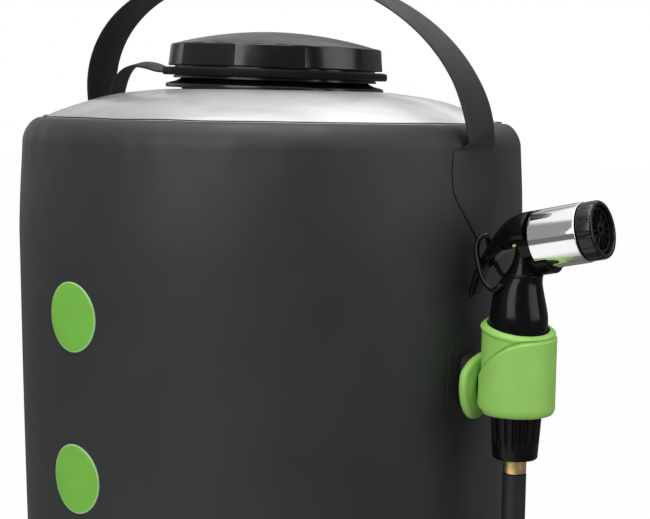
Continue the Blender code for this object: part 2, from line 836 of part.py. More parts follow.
def make_grip(materials, head, barrel):
    loops = []
    for up, forward, length, width in grip_station_shares:
        loop = []
        for index in range(grip_segments):
            turn = math.tau * index / grip_segments
            loop.append((grip_radius * (forward + length * math.cos(turn)),
                         grip_radius * width * math.sin(turn),
                         grip_height * up - grip_foot_below_edge))
        loops.append(loop)
    grip = place("grip_body", lofted(loops), materials["gloss"], head)

    foot = -grip_foot_below_edge - spigot_length
    core_radius = sleeve_radius - sleeve_wall - gap
    nose_front = sleeve_length + core_nose_length
    core = [(core_radius - core_back_chamfer, -core_back),
            (core_radius, core_back_chamfer - core_back), (core_radius, sleeve_length)]
    for operand in (
        guide("core", round_solid(core, 28), barrel),
        guide("core_nose", cylinder(core_nose_radius, nose_front, 28), barrel),
        guide("spigot", cylinder(spigot_radius, spigot_length * 2, 20, foot), head),
    ):
        combine(grip, operand, "UNION")

    seat_back = valve_seat_forward - valve_seat_thickness
    recess_length = stem_seal_length + gap + cut_over
    stem_reach = core_back + stem_behind_core
    bore_length = grip_foot_below_edge + spigot_length - grip_bore_top_below_edge
    for operand in (
        guide("barrel_bore", cylinder(barrel_bore_radius, nose_front, 18, valve_seat_forward),
              barrel),
        guide("seat_bore", cylinder(valve_seat_bore_radius, nose_front, 14), barrel),
        guide("rear_chamber", cylinder(rear_chamber_radius, seat_back + rear_chamber_back, 14,
                                       -rear_chamber_back), barrel),
        guide("stem_hole", cylinder(stem_radius + stem_clearance, stem_reach, 14, -stem_reach),
              barrel),
        guide("seal_recess", cylinder(stem_seal_radius + gap, recess_length, 14,
                                      -core_back - cut_over), barrel),
        guide("grip_bore", cylinder(grip_bore_radius, bore_length + cut_over, 12,
                                    foot - cut_over), head),
        guide("riser", cylinder(riser_radius, riser_length, 12), head,
              (riser_forward, 0.0, -grip_bore_top_below_edge - riser_radius),
              (0.0, riser_lean, 0.0)),
        guide("pin_hole", cylinder(pin_radius + gap, core_radius * 2, 16, -core_radius), barrel,
              (-pin_rise, 0.0, -pin_back), square_on),
    ):
        combine(grip, operand, "DIFFERENCE")
    hole_length = lock_end_depth + cut_over
    hole_middle = lock_half_width - lock_end_depth / 2
    for name, side in (("pivot_hole_right", 1), ("pivot_hole_left", -1)):
        hole = cylinder(lock_wire_radius + gap, hole_length, 12,
                        -side * hole_middle - hole_length / 2)
        combine(grip, guide(name, hole, head, (-lock_pivot_back, 0.0, -lock_pivot_below_edge),
                            square_on), "DIFFERENCE")


def make_barrel(materials, barrel):
    inner = sleeve_radius - sleeve_wall
    soft_radius = sleeve_radius - sleeve_edge_round
    sleeve = [
        (inner, sleeve_length), (soft_radius, sleeve_length),
        (sleeve_radius, sleeve_length - sleeve_edge_round),
        (sleeve_radius, sleeve_edge_round), (soft_radius, 0.0), (inner, 0.0),
    ]
    place("barrel_sleeve", turned(sleeve, 36), materials["chrome"], barrel)

    back = sleeve_length + gap
    front = back + pattern_ring_length
    shelf = sleeve_length + core_nose_length + gap
    bore = core_nose_radius + gap
    recess = pattern_ring_radius - pattern_ring_wall
    steps_per_groove = 4
    end_radius = pattern_ring_radius - pattern_groove_depth - sleeve_edge_round
    loops = []
    for index in range(pattern_ring_grooves * steps_per_groove):
        turn = math.tau * index / (pattern_ring_grooves * steps_per_groove)
        depth = pattern_groove_depth if index % steps_per_groove < 2 else 0.0
        outer = pattern_ring_radius - depth
        loops.append([polar(radius, turn, height) for radius, height in (
            (bore, shelf), (recess, shelf), (recess, front), (end_radius, front),
            (outer, front - 2 * sleeve_edge_round), (outer, back + sleeve_edge_round),
            (end_radius, back), (bore, back))])
    place("pattern_ring", lofted(loops, ring=True), materials["gloss"], barrel)

    radius = recess - gap
    disc_back = shelf + gap
    rib_back = disc_back + insert_thickness / 2
    rib_length = insert_thickness / 2 + insert_rib_height
    insert = place("spray_insert", cylinder(radius, insert_thickness, 24, disc_back),
                   materials["black"], barrel)
    combine(insert, guide("insert_hub", cylinder(insert_hub_radius, rib_length, 14, rib_back),
                          barrel), "UNION")
    rim_radius = radius - gap
    rim = [(rim_radius - insert_rim_width, rib_back + rib_length),
           (rim_radius, rib_back + rib_length), (rim_radius, rib_back),
           (rim_radius - insert_rim_width, rib_back)]
    combine(insert, guide("insert_rim", turned(rim, 24), barrel), "UNION")
    for index in range(insert_ribs // 2):
        rib = block((2 * rim_radius - insert_rim_width, insert_rib_width, rib_length),
                    (0.0, 0.0, rib_back + rib_length / 2))
        combine(insert, guide(f"insert_rib_{index + 1}", rib, barrel, (0.0, 0.0, 0.0),
                              (0.0, 0.0, math.tau * index / insert_ribs)), "UNION")


def make_valve(materials, barrel):
    seal_back = valve_seat_forward + gap
    seal_front = seal_back + valve_seal_thickness
    head_back = seal_front + gap
    head_front = head_back + valve_head_length
    tip = -core_back - stem_behind_core
    stem = [(0.0, stem_front), (stem_radius, stem_front), (stem_radius, head_front),
            (valve_head_radius, head_front), (valve_head_radius, head_back),
            (stem_radius, head_back), (stem_radius, tip + stem_tip_round),
            (stem_radius * 0.6, tip + stem_tip_round / 4), (0.0, tip)]
    place("valve_stem", turned(stem, 20, closed=False), materials["brass"], barrel)

    seal_bore = stem_radius + gap
    seal = [(seal_bore, seal_front), (valve_head_radius, seal_front),
            (valve_head_radius, seal_back), (seal_bore, seal_back)]
    place("valve_seal", turned(seal, 20), materials["rubber"], barrel)

    stem_seal = [(seal_bore, stem_seal_length - core_back),
                 (stem_seal_radius, stem_seal_length - core_back),
                 (stem_seal_radius, -core_back), (seal_bore, -core_back)]
    place("stem_seal", turned(stem_seal, 20), materials["rubber"], barrel)

    retainer_front = sleeve_length + core_nose_length
    retainer_back = retainer_front - retainer_length
    retainer_radius = barrel_bore_radius - gap
    retainer = [(retainer_bore_radius, retainer_front), (retainer_radius, retainer_front),
                (retainer_radius, retainer_back), (retainer_bore_radius, retainer_back)]
    place("valve_retainer", turned(retainer, 20), materials["brass"], barrel)

    low = head_front + gap + spring_wire_radius
    high = retainer_back - gap - spring_wire_radius
    count = spring_turns * spring_points_per_turn
    points = [polar(spring_radius, math.tau * index / spring_points_per_turn,
                    low + (high - low) * index / count) for index in range(count + 1)]
    place("valve_spring", tube(points, spring_wire_radius, 1), materials["steel"], barrel)


def make_lever(materials, head, barrel):
    tilt_sine = math.sin(barrel_tilt)
    tilt_cosine = math.cos(barrel_tilt)
    pin = (barrel_forward - pin_back * tilt_cosine - pin_rise * tilt_sine, 0.0,
           pin_rise * tilt_cosine - pin_back * tilt_sine - barrel_below_edge)
    pivot = frame("lever_frame", pin, (0.0, 0.0, 0.0), head)
    loops = []
    for upper_x, upper_z, lower_x, lower_z, width in lever_station_shares:
        upper = Vector((upper_x, 0.0, upper_z)) * lever_length
        lower = Vector((lower_x, 0.0, lower_z)) * lever_length
        side = Vector((0.0, lever_half_width * width, 0.0))
        loop = []
        for index in range(lever_section_points):
            turn = math.tau * index / lever_section_points
            loop.append((upper + lower) / 2
                        + (upper - lower) / 2 * signed_power(math.sin(turn),
                                                             2 / lever_section_power)
                        + side * signed_power(math.cos(turn), 2 / lever_section_power))
        loops.append(loop)
    lever = place("trigger_lever", lofted(loops), materials["gloss"], pivot)

    hollow_radius = lever_half_width - lever_wall
    hollow_back = core_back + stem_behind_core + gap
    reach = hollow_back + sleeve_length
    hollow = [(lever_hollow_end_radius, -hollow_back),
              (lever_hollow_waist_radius, -lever_hollow_waist_back),
              (hollow_radius, -lever_hollow_straight_back), (hollow_radius, sleeve_length)]
    combine(lever, guide("lever_hollow", round_solid(hollow, 28), barrel), "DIFFERENCE")
    slot = block((hollow_radius * 2, hollow_radius * 2, reach),
                 (hollow_radius, 0.0, reach / 2 - hollow_back))
    combine(lever, guide("lever_slot", slot, barrel), "DIFFERENCE")
    bore_half = pin_half_length + gap
    bore = cylinder(pin_radius + gap, bore_half * 2, 16, -bore_half)
    combine(lever, guide("lever_bore", bore, pivot, (0.0, 0.0, 0.0), square_on), "DIFFERENCE")
    place("trigger_pin", cylinder(pin_radius, pin_half_length * 2, 16, -pin_half_length),
          materials["steel"], pivot, (0.0, 0.0, 0.0), square_on)


def make_lock_ring(materials, head):
    pivot = frame("lock_frame", (-lock_pivot_back, 0.0, -lock_pivot_below_edge),
                  (0.0, 0.0, 0.0), head)
    side = [(0.0, lock_half_width - lock_end_depth, 0.0),
            (0.0, lock_half_width, 0.0)]
    for back_share, up_share, width_share in lock_route_shares:
        side.append((lock_length * back_share, lock_half_width * width_share,
                     lock_length * up_share))
    route = [(x, -y, z) for x, y, z in side[:-1]] + side[::-1]
    points = smooth_route(route, lock_wire_radius * 2)
    place("lock_ring", tube(points, lock_wire_radius, 2), materials["gloss"], pivot)


def make_hose_end(materials, head):
    top = -grip_foot_below_edge - gap
    bottom = top - nut_length
    bore = spigot_radius + gap
    shelf = bottom + nut_floor
    groove_end = bottom + nut_smooth_foot
    groove_end_radius = nut_bottom_radius + ((nut_top_radius - nut_bottom_radius)
                                             * nut_smooth_foot / nut_length)
    steps_per_groove = 4
    loops = []
    for index in range(nut_grooves * steps_per_groove):
        turn = math.tau * index / (nut_grooves * steps_per_groove)
        depth = nut_groove_depth if index % steps_per_groove < 2 else 0.0
        loops.append([polar(radius, turn, height) for radius, height in (
            (bore, top), (nut_top_radius - depth, top),
            (groove_end_radius - depth, groove_end),
            (nut_bottom_radius, bottom + nut_edge_round),
            (nut_bottom_radius - nut_edge_round, bottom),
            (nut_floor_bore_radius, bottom), (nut_floor_bore_radius, shelf), (bore, shelf))])
    place("hose_nut", lofted(loops, ring=True), materials["gloss"], head)

    flange_foot = shelf + gap
    flange_top = flange_foot + tail_flange_thickness
    foot = bottom - tail_below_nut
    tail = [(tail_bore_radius, flange_top), (tail_flange_radius, flange_top),
            (tail_flange_radius, flange_foot), (tail_radius, flange_foot),
            (tail_radius, foot), (tail_bore_radius, foot)]
    place("hose_tail", turned(tail, 24), materials["brass"], head)

    washer_foot = flange_top + gap
    washer_top = -grip_foot_below_edge - spigot_length - gap
    washer_radius = spigot_radius - gap
    washer = [(tail_bore_radius, washer_top), (washer_radius, washer_top),
              (washer_radius, washer_foot), (tail_bore_radius, washer_foot)]
    place("nut_washer", turned(washer, 24), materials["rubber"], head)


def coil_points():
    """The coil's middle line: in on the top layer, one layer down, and out on the floor."""
    turns = coil_turns_per_layer * 2 + 0.5
    steps = round(turns * coil_points_per_turn)
    low = coil_floor_lift + hose_radius
    points = []
    for step in range(steps + 1):
        done = turns * step / steps
        inward = turns / 2 - abs(done - turns / 2)
        radius = coil_outer_radius - coil_pitch * inward
        climb = min(max((done - coil_turns_per_layer) / 0.5, 0.0), 1.0)
        height = low + coil_layer_rise * (1 + math.cos(math.pi * climb)) / 2
        x, y, z = polar(radius, math.tau * done - math.pi / 2, height)
        points.append(Vector((coil_centre[0] + x, coil_centre[1] + y, z)))
    return points


def with_straight_ends(points):
    """The coil with one diameter of straight hose at each end, where its spiral begins."""
    straight = Vector((-2 * hose_radius, 0.0, 0.0))
    return [points[0] + straight] + points + [points[-1] + straight]


def least_gap(points, radius):
    """Least clear distance between turns of one tube."""
    least = math.inf
    skip = coil_points_per_turn // 3
    for index, point in enumerate(points):
        for other in range(index + skip, len(points) - 1):
            start = points[other]
            along = points[other + 1] - start
            share = min(max((point - start).dot(along) / along.length_squared, 0.0), 1.0)
            least = min(least, (point - start - along * share).length - 2 * radius)
    return least


def make_hose(materials):
    coil = with_straight_ends(coil_points())
    drop = smooth_route(hose_drop_route[:-1], hose_point_spacing) + [Vector(hose_drop_route[-1])]
    back = [Vector(hose_return_route[0])] + smooth_route(hose_return_route[1:], hose_point_spacing)
    place("hose_coil", tube(coil, hose_radius, 1), materials["hose"])
    place("hose_drop", tube(drop, hose_radius, 2), materials["hose"])
    place("hose_return", tube(back, hose_radius, 2), materials["hose"])
    print(f"coil: least gap to itself {least_gap(coil, hose_radius) * 1000:.2f} mm")
    print(f"hose: drop {route_length(drop):.3f} m, coil {route_length(coil):.3f} m, "
          f"return {route_length(back):.3f} m")


def make_tie(materials):
    """A flat band round the coil's turns at one place."""
    reach = math.pi / coil_points_per_turn
    radii = []
    heights = []
    for point in coil_points():
        x = point.x - coil_centre[0]
        y = point.y - coil_centre[1]
        if abs(math.atan2(y, x) - tie_turn) < reach * 1.5:
            radii.append(math.hypot(x, y))
            heights.append(point.z)
    inner = min(radii) - hose_radius - tie_slack
    outer = max(radii) + hose_radius + tie_slack
    top = max(heights) + hose_radius + gap
    bottom = coil_floor_lift - gap
    corner = hose_radius
    corner_steps = 4
    loops = []
    for quarter, (centre_r, centre_z) in enumerate((
            (outer - corner, top - corner), (inner + corner, top - corner),
            (inner + corner, bottom + corner), (outer - corner, bottom + corner))):
        for step in range(corner_steps + 1):
            turn = math.pi / 2 * (quarter + step / corner_steps)
            near, far = ((centre_r + radius * math.cos(turn), centre_z + radius * math.sin(turn))
                         for radius in (corner, corner + tie_thickness))
            loops.append([(near[0], -tie_width / 2, near[1]), (near[0], tie_width / 2, near[1]),
                          (far[0], tie_width / 2, far[1]), (far[0], -tie_width / 2, far[1])])
    place("coil_tie", lofted(loops, ring=True), materials["black"], None,
          (coil_centre[0], coil_centre[1], 0.0), (0.0, 0.0, tie_turn))


def make_outlet(materials):
    base = frame("outlet_frame", (0.0, 0.0, outlet_height), (0.0, math.pi / 2, outlet_turn))
    face = wall_radius(outlet_height) + gap
    front = face + outlet_flange_thickness
    tip = front + outlet_spigot_length
    profile = [(outlet_bore_radius, tip), (outlet_spigot_radius, tip),
               (outlet_spigot_radius, front), (outlet_flange_radius - cut_over, front),
               (outlet_flange_radius, front - cut_over),
               (outlet_flange_radius, face - outlet_flange_thickness),
               (outlet_bore_radius, face - outlet_flange_thickness)]
    outlet = place("outlet_spigot", turned(profile, 32), materials["black"], base)
    seat = shifted(wall_profile(), -gap)
    seat = [(0.0, seat[0][1])] + seat + [(0.0, seat[-1][1])]
    combine(outlet, guide("outlet_seat", turned(seat, bag_segments * 2, closed=False)),
            "DIFFERENCE")

    bore = hose_radius + clamp_clearance
    start = tip + gap + clamp_from_end
    clamp = [(bore, start + clamp_width), (bore + clamp_wall, start + clamp_width),
             (bore + clamp_wall, start), (bore, start)]
    place("hose_clamp", turned(clamp, 28), materials["steel"], base)


def main():
    clear_scene()
    materials = {
        "charcoal": material("charcoal_fabric", (0.035, 0.035, 0.037), 0.62),
        "clear": material("clear_film", (0.86, 0.87, 0.88), 0.12, 0.0, 0.85),
        "black": material("black_plastic", (0.020, 0.020, 0.021), 0.45),
        "gloss": material("gloss_black_plastic", (0.012, 0.012, 0.013), 0.22),
        "rubber": material("seal_rubber", (0.030, 0.030, 0.030), 0.75),
        "green": material("green_rubber", (0.27, 0.55, 0.12), 0.50),
        "chrome": material("chrome", (0.85, 0.86, 0.88), 0.06, 1.0),
        "brass": material("brass", (0.72, 0.50, 0.25), 0.28, 1.0),
        "steel": material("steel", (0.55, 0.56, 0.58), 0.30, 1.0),
        "hose": material("hose_rubber", (0.035, 0.038, 0.038), 0.50),
    }
    make_bag(materials)
    lean = frame("neck_frame", (0.0, 0.0, top_edge), (0.0, neck_lean, 0.0))
    make_neck(materials, lean)
    ring_middle = make_cap(materials, lean)
    make_tether(materials, ring_middle)
    make_handle(materials)
    make_discs(materials)
    make_holder(materials)
    head = frame("head_frame", polar(holder_reach, holder_turn, top_edge), (0.0, 0.0, head_turn))
    barrel = frame("barrel_frame", (barrel_forward, 0.0, -barrel_below_edge),
                   (0.0, math.pi / 2 - barrel_tilt, 0.0), head)
    make_grip(materials, head, barrel)
    make_barrel(materials, barrel)
    make_valve(materials, barrel)
    make_lever(materials, head, barrel)
    make_lock_ring(materials, head)
    make_hose_end(materials, head)
    make_hose(materials)
    make_tie(materials)
    make_outlet(materials)


main()
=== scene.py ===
from math import atan2, copysign, cos, degrees, exp, hypot, pi, radians, sin, sqrt, tau

import bmesh
import bpy
from mathutils import Matrix, Vector, noise


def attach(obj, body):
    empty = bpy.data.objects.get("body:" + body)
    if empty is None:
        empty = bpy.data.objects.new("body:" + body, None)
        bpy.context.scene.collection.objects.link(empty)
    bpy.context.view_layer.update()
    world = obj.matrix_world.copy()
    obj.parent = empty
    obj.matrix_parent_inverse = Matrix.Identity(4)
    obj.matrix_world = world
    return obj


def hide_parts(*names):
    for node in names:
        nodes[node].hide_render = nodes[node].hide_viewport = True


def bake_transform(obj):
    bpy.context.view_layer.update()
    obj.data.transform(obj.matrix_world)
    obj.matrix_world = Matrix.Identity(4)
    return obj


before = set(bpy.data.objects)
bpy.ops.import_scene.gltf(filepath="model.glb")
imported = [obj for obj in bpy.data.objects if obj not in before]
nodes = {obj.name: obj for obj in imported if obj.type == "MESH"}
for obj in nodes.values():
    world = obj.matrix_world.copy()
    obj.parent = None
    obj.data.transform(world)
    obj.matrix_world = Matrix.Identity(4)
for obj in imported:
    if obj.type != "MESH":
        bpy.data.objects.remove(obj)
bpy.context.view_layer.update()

scene = bpy.context.scene

# Sizes in metres, and angles, as in the part
top = 0.36  # height of the bag's folded edge
gap = 0.0003  # air between pieces that touch
wall_out = 0.135  # the wall's largest radius
waist = 0.06  # how far under the edge the wall is widest
shoulder_in = 0.002  # how much narrower the wall is just under its edge
edge_deep = 0.012  # depth of the rounded edge
edge_in = 0.1245  # radius of the edge's inner end
edge_power = 1.65
taper = 0.0075  # how much narrower the wall is at its foot
foot_high = 0.0143  # where the foot starts to turn in
foot_deep = 0.012
neck_out = 0.0503
ring_out = 0.0603  # the loose ring under the cap
disc_size = 0.0172  # radius of the green discs
disc_angle = radians(-96.0)
handle_reach = 0.1355
handle_half = 0.0109
handle_turn = radians(-2.5)
handle_lean = radians(16.3)
holder_reach = 0.1625
holder_angle = radians(-4.0)
holder_middle = -0.1225
neck_lean = radians(1.3)
grip_out = 0.0139
grip_low = -0.1367
grip_tall = 0.0817
tilt = radians(12.3)

# Frames of the part's groups
bag = Matrix.Identity(4)
neck = Matrix.Translation((0.0, 0.0, top)) @ Matrix.Rotation(neck_lean, 4, "Y")
handle = (Matrix.Translation((0.0, 0.0, top - 0.004)) @ Matrix.Rotation(handle_turn, 4, "Z")
          @ Matrix.Rotation(handle_lean, 4, "X"))
holder = Matrix.Rotation(holder_angle, 4, "Z") @ Matrix.Translation((0.0, 0.0, top))
head = (holder @ Matrix.Translation((holder_reach, 0.0, 0.0))
        @ Matrix.Rotation(radians(7.6), 4, "Z"))
barrel = (head @ Matrix.Translation((0.0102, 0.0, -0.0526))
          @ Matrix.Rotation(pi / 2 - tilt, 4, "Y"))


def placed(name, data):
    result = bpy.data.objects.new(name, data)
    scene.collection.objects.link(result)
    return result


# ---- camera

def make_camera():
    distance = 0.8142
    picture_width = 650.0
    focal_length = 1500.36  # in pixels of the picture
    turn = radians(39.8)
    pitch = radians(5.892)
    roll = radians(0.891)
    yaw = turn - radians(2.03)
    place = Vector((distance * sin(turn), -distance * cos(turn), 0.36884))
    ahead = Vector((-cos(pitch) * sin(yaw), cos(pitch) * cos(yaw), -sin(pitch)))
    right = Vector((cos(yaw), sin(yaw), 0.0))
    up = right.cross(ahead)
    across = right * cos(roll) + up * sin(roll)
    upward = up * cos(roll) - right * sin(roll)
    data = bpy.data.cameras.new("camera")
    data.sensor_fit = "HORIZONTAL"
    data.sensor_width = 36.0
    data.lens = data.sensor_width * focal_length / picture_width
    data.clip_start = 0.02
    data.clip_end = 50.0
    camera = placed("camera", data)
    facing = Matrix((across, upward, -ahead)).transposed()
    camera.matrix_world = Matrix.Translation(place) @ facing.to_4x4()
    scene.camera = camera


# ---- materials

def node(tree, kind, inputs, **settings):
    """A node whose inputs are plain values or other nodes' outputs."""
    result = tree.nodes.new("ShaderNode" + kind)
    for key, value in settings.items():
        setattr(result, key, value)
    for slot, source in inputs.items():
        if isinstance(source, bpy.types.NodeSocket):
            tree.links.new(source, result.inputs[slot])
        else:
            result.inputs[slot].default_value = source
    return result


def cloud(tree, place, scale, detail, stretch=None):
    if stretch is not None:
        place = node(tree, "Mapping", {"Vector": place, "Scale": stretch}).outputs["Vector"]
    return node(tree, "TexNoise", {"Vector": place, "Scale": scale,
                                   "Detail": detail}).outputs["Fac"]


def spread(tree, value, low, high, from_low=0.3, from_high=0.7):
    """A value's range turned into another one."""
    return node(tree, "MapRange", {"Value": value, "From Min": from_low, "From Max": from_high,
                                   "To Min": low, "To Max": high}).outputs["Result"]


def ramp(tree, source, stops):
    """A colour for each value, from pairs of a position and a colour."""
    result = node(tree, "ValToRGB", {"Fac": source})
    elements = result.color_ramp.elements
    while len(elements) < len(stops):
        elements.new(0.5)
    for element, (position, colour) in zip(elements, stops):
        element.position = position
        element.color = (*colour, 1.0)
    return result.outputs["Color"]


def measured(tree, source, direction):
    """How far a vector reaches along a direction."""
    return node(tree, "VectorMath", {0: source, 1: direction},
                operation="DOT_PRODUCT").outputs["Value"]


def mixed(tree, factor, first, second, blend="MIX"):
    return node(tree, "Mix", {0: factor, 6: first, 7: second}, data_type="RGBA",
                blend_type=blend).outputs[2]


def skin(name, colour, roughness, metallic=0.0, mottle=(0.15, 60.0), rough_spread=0.08, bumps=(),
         weave=None, sheen=0.0, alpha=1.0, specular=0.5, tint=None, painted_side_light=None):
    """A surface whose colour, roughness and relief all vary.

    mottle: share and noise scale; each bump: noise scale, strength and height in metres;
    weave: pitch, strength and height; painted_side_light: shares of the colour at the two
    sides, a painted light and shade that makes one side lighter and the other darker.
    """
    result = bpy.data.materials.new(name)
    result.use_nodes = True
    result.diffuse_color = (*colour, 1.0)
    tree = result.node_tree
    shader = tree.nodes["Principled BSDF"]
    for socket, value in (("Metallic", metallic), ("Sheen Weight", sheen), ("Alpha", alpha),
                          ("Specular IOR Level", specular)):
        shader.inputs[socket].default_value = value
    spots = node(tree, "TexCoord", {}).outputs
    place = spots["Object"]
    share, scale = mottle
    base = ramp(tree, cloud(tree, place, scale, 4.0), (
        (0.32, [part * (1 - share) for part in colour]),
        (0.68, [part * (1 + share) for part in tint or colour])))
    # Painted light and shade: the colour is multiplied lighter towards one side and darker towards
    # the other, as the light and reflections fall across the surface
    if painted_side_light is not None:
        shade = spread(tree, measured(tree, place, (0.79, 0.61, 0.0)), *painted_side_light, -0.12, 0.08)
        base = mixed(tree, 1.0, base, shade, "MULTIPLY")
    tree.links.new(base, shader.inputs["Base Color"])
    rough = spread(tree, cloud(tree, place, scale * 2.7, 5.0),
                   max(roughness - rough_spread, 0.02), min(roughness + rough_spread, 1.0))
    tree.links.new(rough, shader.inputs["Roughness"])
    reliefs = [(cloud(tree, place, fineness, 2.0, *stretch), strength, deep)
               for fineness, strength, deep, *stretch in bumps]
    if weave is not None:
        pitch, strength, deep = weave
        for direction in ("X", "Y"):
            threads = node(tree, "TexWave", {
                "Vector": spots["UV"], "Scale": pi / 10 / pitch, "Distortion": 0.6,
                "Detail": 1.0}, wave_type="BANDS", bands_direction=direction)
            reliefs.append((threads.outputs["Fac"], strength, deep))
    target = shader.inputs["Normal"]
    for height, strength, deep in reliefs[::-1]:
        relief = node(tree, "Bump", {"Height": height, "Strength": strength, "Distance": deep})
        tree.links.new(relief.outputs["Normal"], target)
        target = relief.inputs["Normal"]
    return result


def make_skins():
    cloth = ((2400.0, 0.28, 0.00012), (420.0, 0.16, 0.0003))
    tabby = (0.0011, 0.1, 0.00008)
    moulded = ((1300.0, 0.1, 0.0001),)
    rubbery = ((1500.0, 0.3, 0.0001),)
    return {
        "bag": skin("coated_fabric", (0.0265, 0.0275, 0.029), 0.5, mottle=(0.1, 14.0),
                    rough_spread=0.07, bumps=(*cloth, (46.0, 0.16, 0.0012)), weave=tabby,
                    sheen=0.02, specular=0.3),
        "patch": skin("patch_fabric", (0.027, 0.028, 0.0295), 0.5, mottle=(0.1, 40.0),
                      bumps=cloth, weave=tabby, specular=0.28),
        "strap": skin("strap_fabric", (0.024, 0.025, 0.0265), 0.52, mottle=(0.14, 60.0),
                      bumps=(cloth[0], (300.0, 0.14, 0.0003)), weave=(0.0012, 0.16, 0.0001),
                      specular=0.4),
        # The clear top's colour carries painted light: lighter towards one side, darker towards
        # the other
        "film": skin("clear_film", (0.68, 0.69, 0.7), 0.18, mottle=(0.14, 17.0),
                     rough_spread=0.06, bumps=((24.0, 0.45, 0.002), (70.0, 0.2, 0.0008)),
                     alpha=0.88, painted_side_light=(0.38, 1.36)),
        "black": skin("black_plastic", (0.012, 0.012, 0.013), 0.42,
                      bumps=((1600.0, 0.25, 0.0001),)),
        "cap": skin("cap_plastic", (0.008, 0.008, 0.009), 0.2, mottle=(0.15, 35.0),
                    rough_spread=0.05, bumps=((900.0, 0.06, 0.0001), (90.0, 0.05, 0.0004)),
                    specular=0.42),
        "gloss": skin("gloss_plastic", (0.004, 0.004, 0.005), 0.19, mottle=(0.15, 80.0),
                      rough_spread=0.06, bumps=((1100.0, 0.05, 0.0001), (110.0, 0.05, 0.0003)),
                      specular=0.18),
        "ring": skin("ring_plastic", (0.003, 0.003, 0.004), 0.62, bumps=moulded, specular=0.14),
        "insert": skin("insert_plastic", (0.004, 0.004, 0.005), 0.4, mottle=(0.15, 90.0),
                       bumps=moulded, specular=0.15),
        "rubber": skin("seal_rubber", (0.028, 0.028, 0.028), 0.75, mottle=(0.15, 90.0),
                       bumps=rubbery),
        "green": skin("green_rubber", (0.315, 0.61, 0.125), 0.44, mottle=(0.05, 60.0),
                      rough_spread=0.06, bumps=((1900.0, 0.12, 0.00008), (120.0, 0.1, 0.0004)),
                      specular=0.35, tint=(0.325, 0.62, 0.135)),
        "disc": skin("disc_green", (0.195, 0.52, 0.068), 0.5, mottle=(0.05, 50.0),
                     rough_spread=0.06, bumps=((1900.0, 0.16, 0.00008), (90.0, 0.1, 0.0004)),
                     specular=0.3),
        "disc_rim": skin("disc_rim", (0.4, 0.66, 0.28), 0.4, mottle=(0.06, 90.0),
                         bumps=((2600.0, 0.22, 0.0001),)),
        "chrome": skin("chrome", (0.9, 0.91, 0.93), 0.055, metallic=1.0, mottle=(0.02, 120.0),
                       rough_spread=0.025, bumps=((60.0, 0.03, 0.0003), (1400.0, 0.015, 0.0001))),
        "brass": skin("turned_brass", (0.84, 0.56, 0.24), 0.32, metallic=1.0,
                      mottle=(0.1, 160.0), rough_spread=0.09,
                      bumps=((900.0, 0.16, 0.0001, (0.2, 0.2, 4.0)),), tint=(0.88, 0.62, 0.29)),
        "steel": skin("bright_steel", (0.56, 0.57, 0.59), 0.28, metallic=1.0,
                      mottle=(0.06, 200.0), bumps=((1500.0, 0.1, 0.0001),)),
        "hose": skin("hose_rubber", (0.0165, 0.019, 0.02), 0.42, mottle=(0.1, 70.0),
                     bumps=((1700.0, 0.16, 0.0001), (160.0, 0.08, 0.0004)), specular=0.3),
        "tie": skin("tie_plastic", (0.022, 0.022, 0.023), 0.5, mottle=(0.12, 90.0),
                    bumps=rubbery, weave=(0.0008, 0.3, 0.0001)),
        "weld": skin("weld_dots", (0.01, 0.01, 0.011), 0.45, mottle=(0.12, 200.0),
                     bumps=((1500.0, 0.2, 0.0001),)),
    }


skins = make_skins()


# ---- shapes

def polar(radius, angle, height):
    return Vector((radius * cos(angle), radius * sin(angle), height))


def signed_power(value, power):
    return copysign(abs(value) ** power, value)


def ease(value, low, high):
    share = min(max((value - low) / (high - low), 0.0), 1.0)
    return share * share * (3 - 2 * share)


def turns(count):
    return [tau * step / count for step in range(count)]


def between(spots, place):
    """The value at a place on the line through pairs of (place, value)."""
    for low, high in zip(spots, spots[1:]):
        if place < high[0]:
            return low[1] + (high[1] - low[1]) * ((place - low[0]) / (high[0] - low[0]))
    return spots[-1][1]


def heading(points, index):
    """The direction of a route at one of its points."""
    return (points[min(index + 1, len(points) - 1)] - points[max(index - 1, 0)]).normalized()


def curve_through(values, steps):
    """Points of a smooth curve through tuples of numbers, steps to each span."""
    knots = [Vector(value) for value in values]
    knots = [2 * knots[0] - knots[1]] + knots + [2 * knots[-1] - knots[-2]]
    result = []
    for before, start, end, after in zip(knots, knots[1:], knots[2:], knots[3:]):
        for step in range(steps):
            t = step / steps
            result.append(0.5 * (2 * start + (end - before) * t
                                 + (2 * before - 5 * start + 4 * end - after) * t ** 2
                                 + (3 * start - before - 3 * end + after) * t ** 3))
    result.append(knots[-2])
    return result


def evenly(points, spacing):
    """The same route with points at even distances."""
    total = sum((second - first).length for first, second in zip(points, points[1:]))
    count = max(round(total / spacing), 2)
    result = [points[0]]
    walked = 0.0
    for first, second in zip(points, points[1:]):
        length = (second - first).length
        while len(result) < count and walked + length >= total * len(result) / count:
            result.append(first.lerp(second, (total * len(result) / count - walked) / length))
        walked += length
    return result + [points[-1]]


def rounded(profile, radius, steps=3):
    """A closed profile with its corners rounded."""
    result = []
    for index, point in enumerate(profile):
        here = Vector(point)
        before = Vector(profile[index - 1]) - here
        after = Vector(profile[(index + 1) % len(profile)]) - here
        if before.length < 1e-7 or after.length < 1e-7:
            continue
        cut = min(radius, before.length * 0.45, after.length * 0.45)
        start = here + before.normalized() * cut
        end = here + after.normalized() * cut
        for step in range(steps + 1):
            t = step / steps
            result.append(start * (1 - t) ** 2 + here * 2 * t * (1 - t) + end * t * t)
    return [(point[0], point[1]) for point in result]


def as_mesh(bm, name):
    result = bpy.data.meshes.new(name)
    bm.to_mesh(result)
    bm.free()
    result.shade_smooth()
    return result


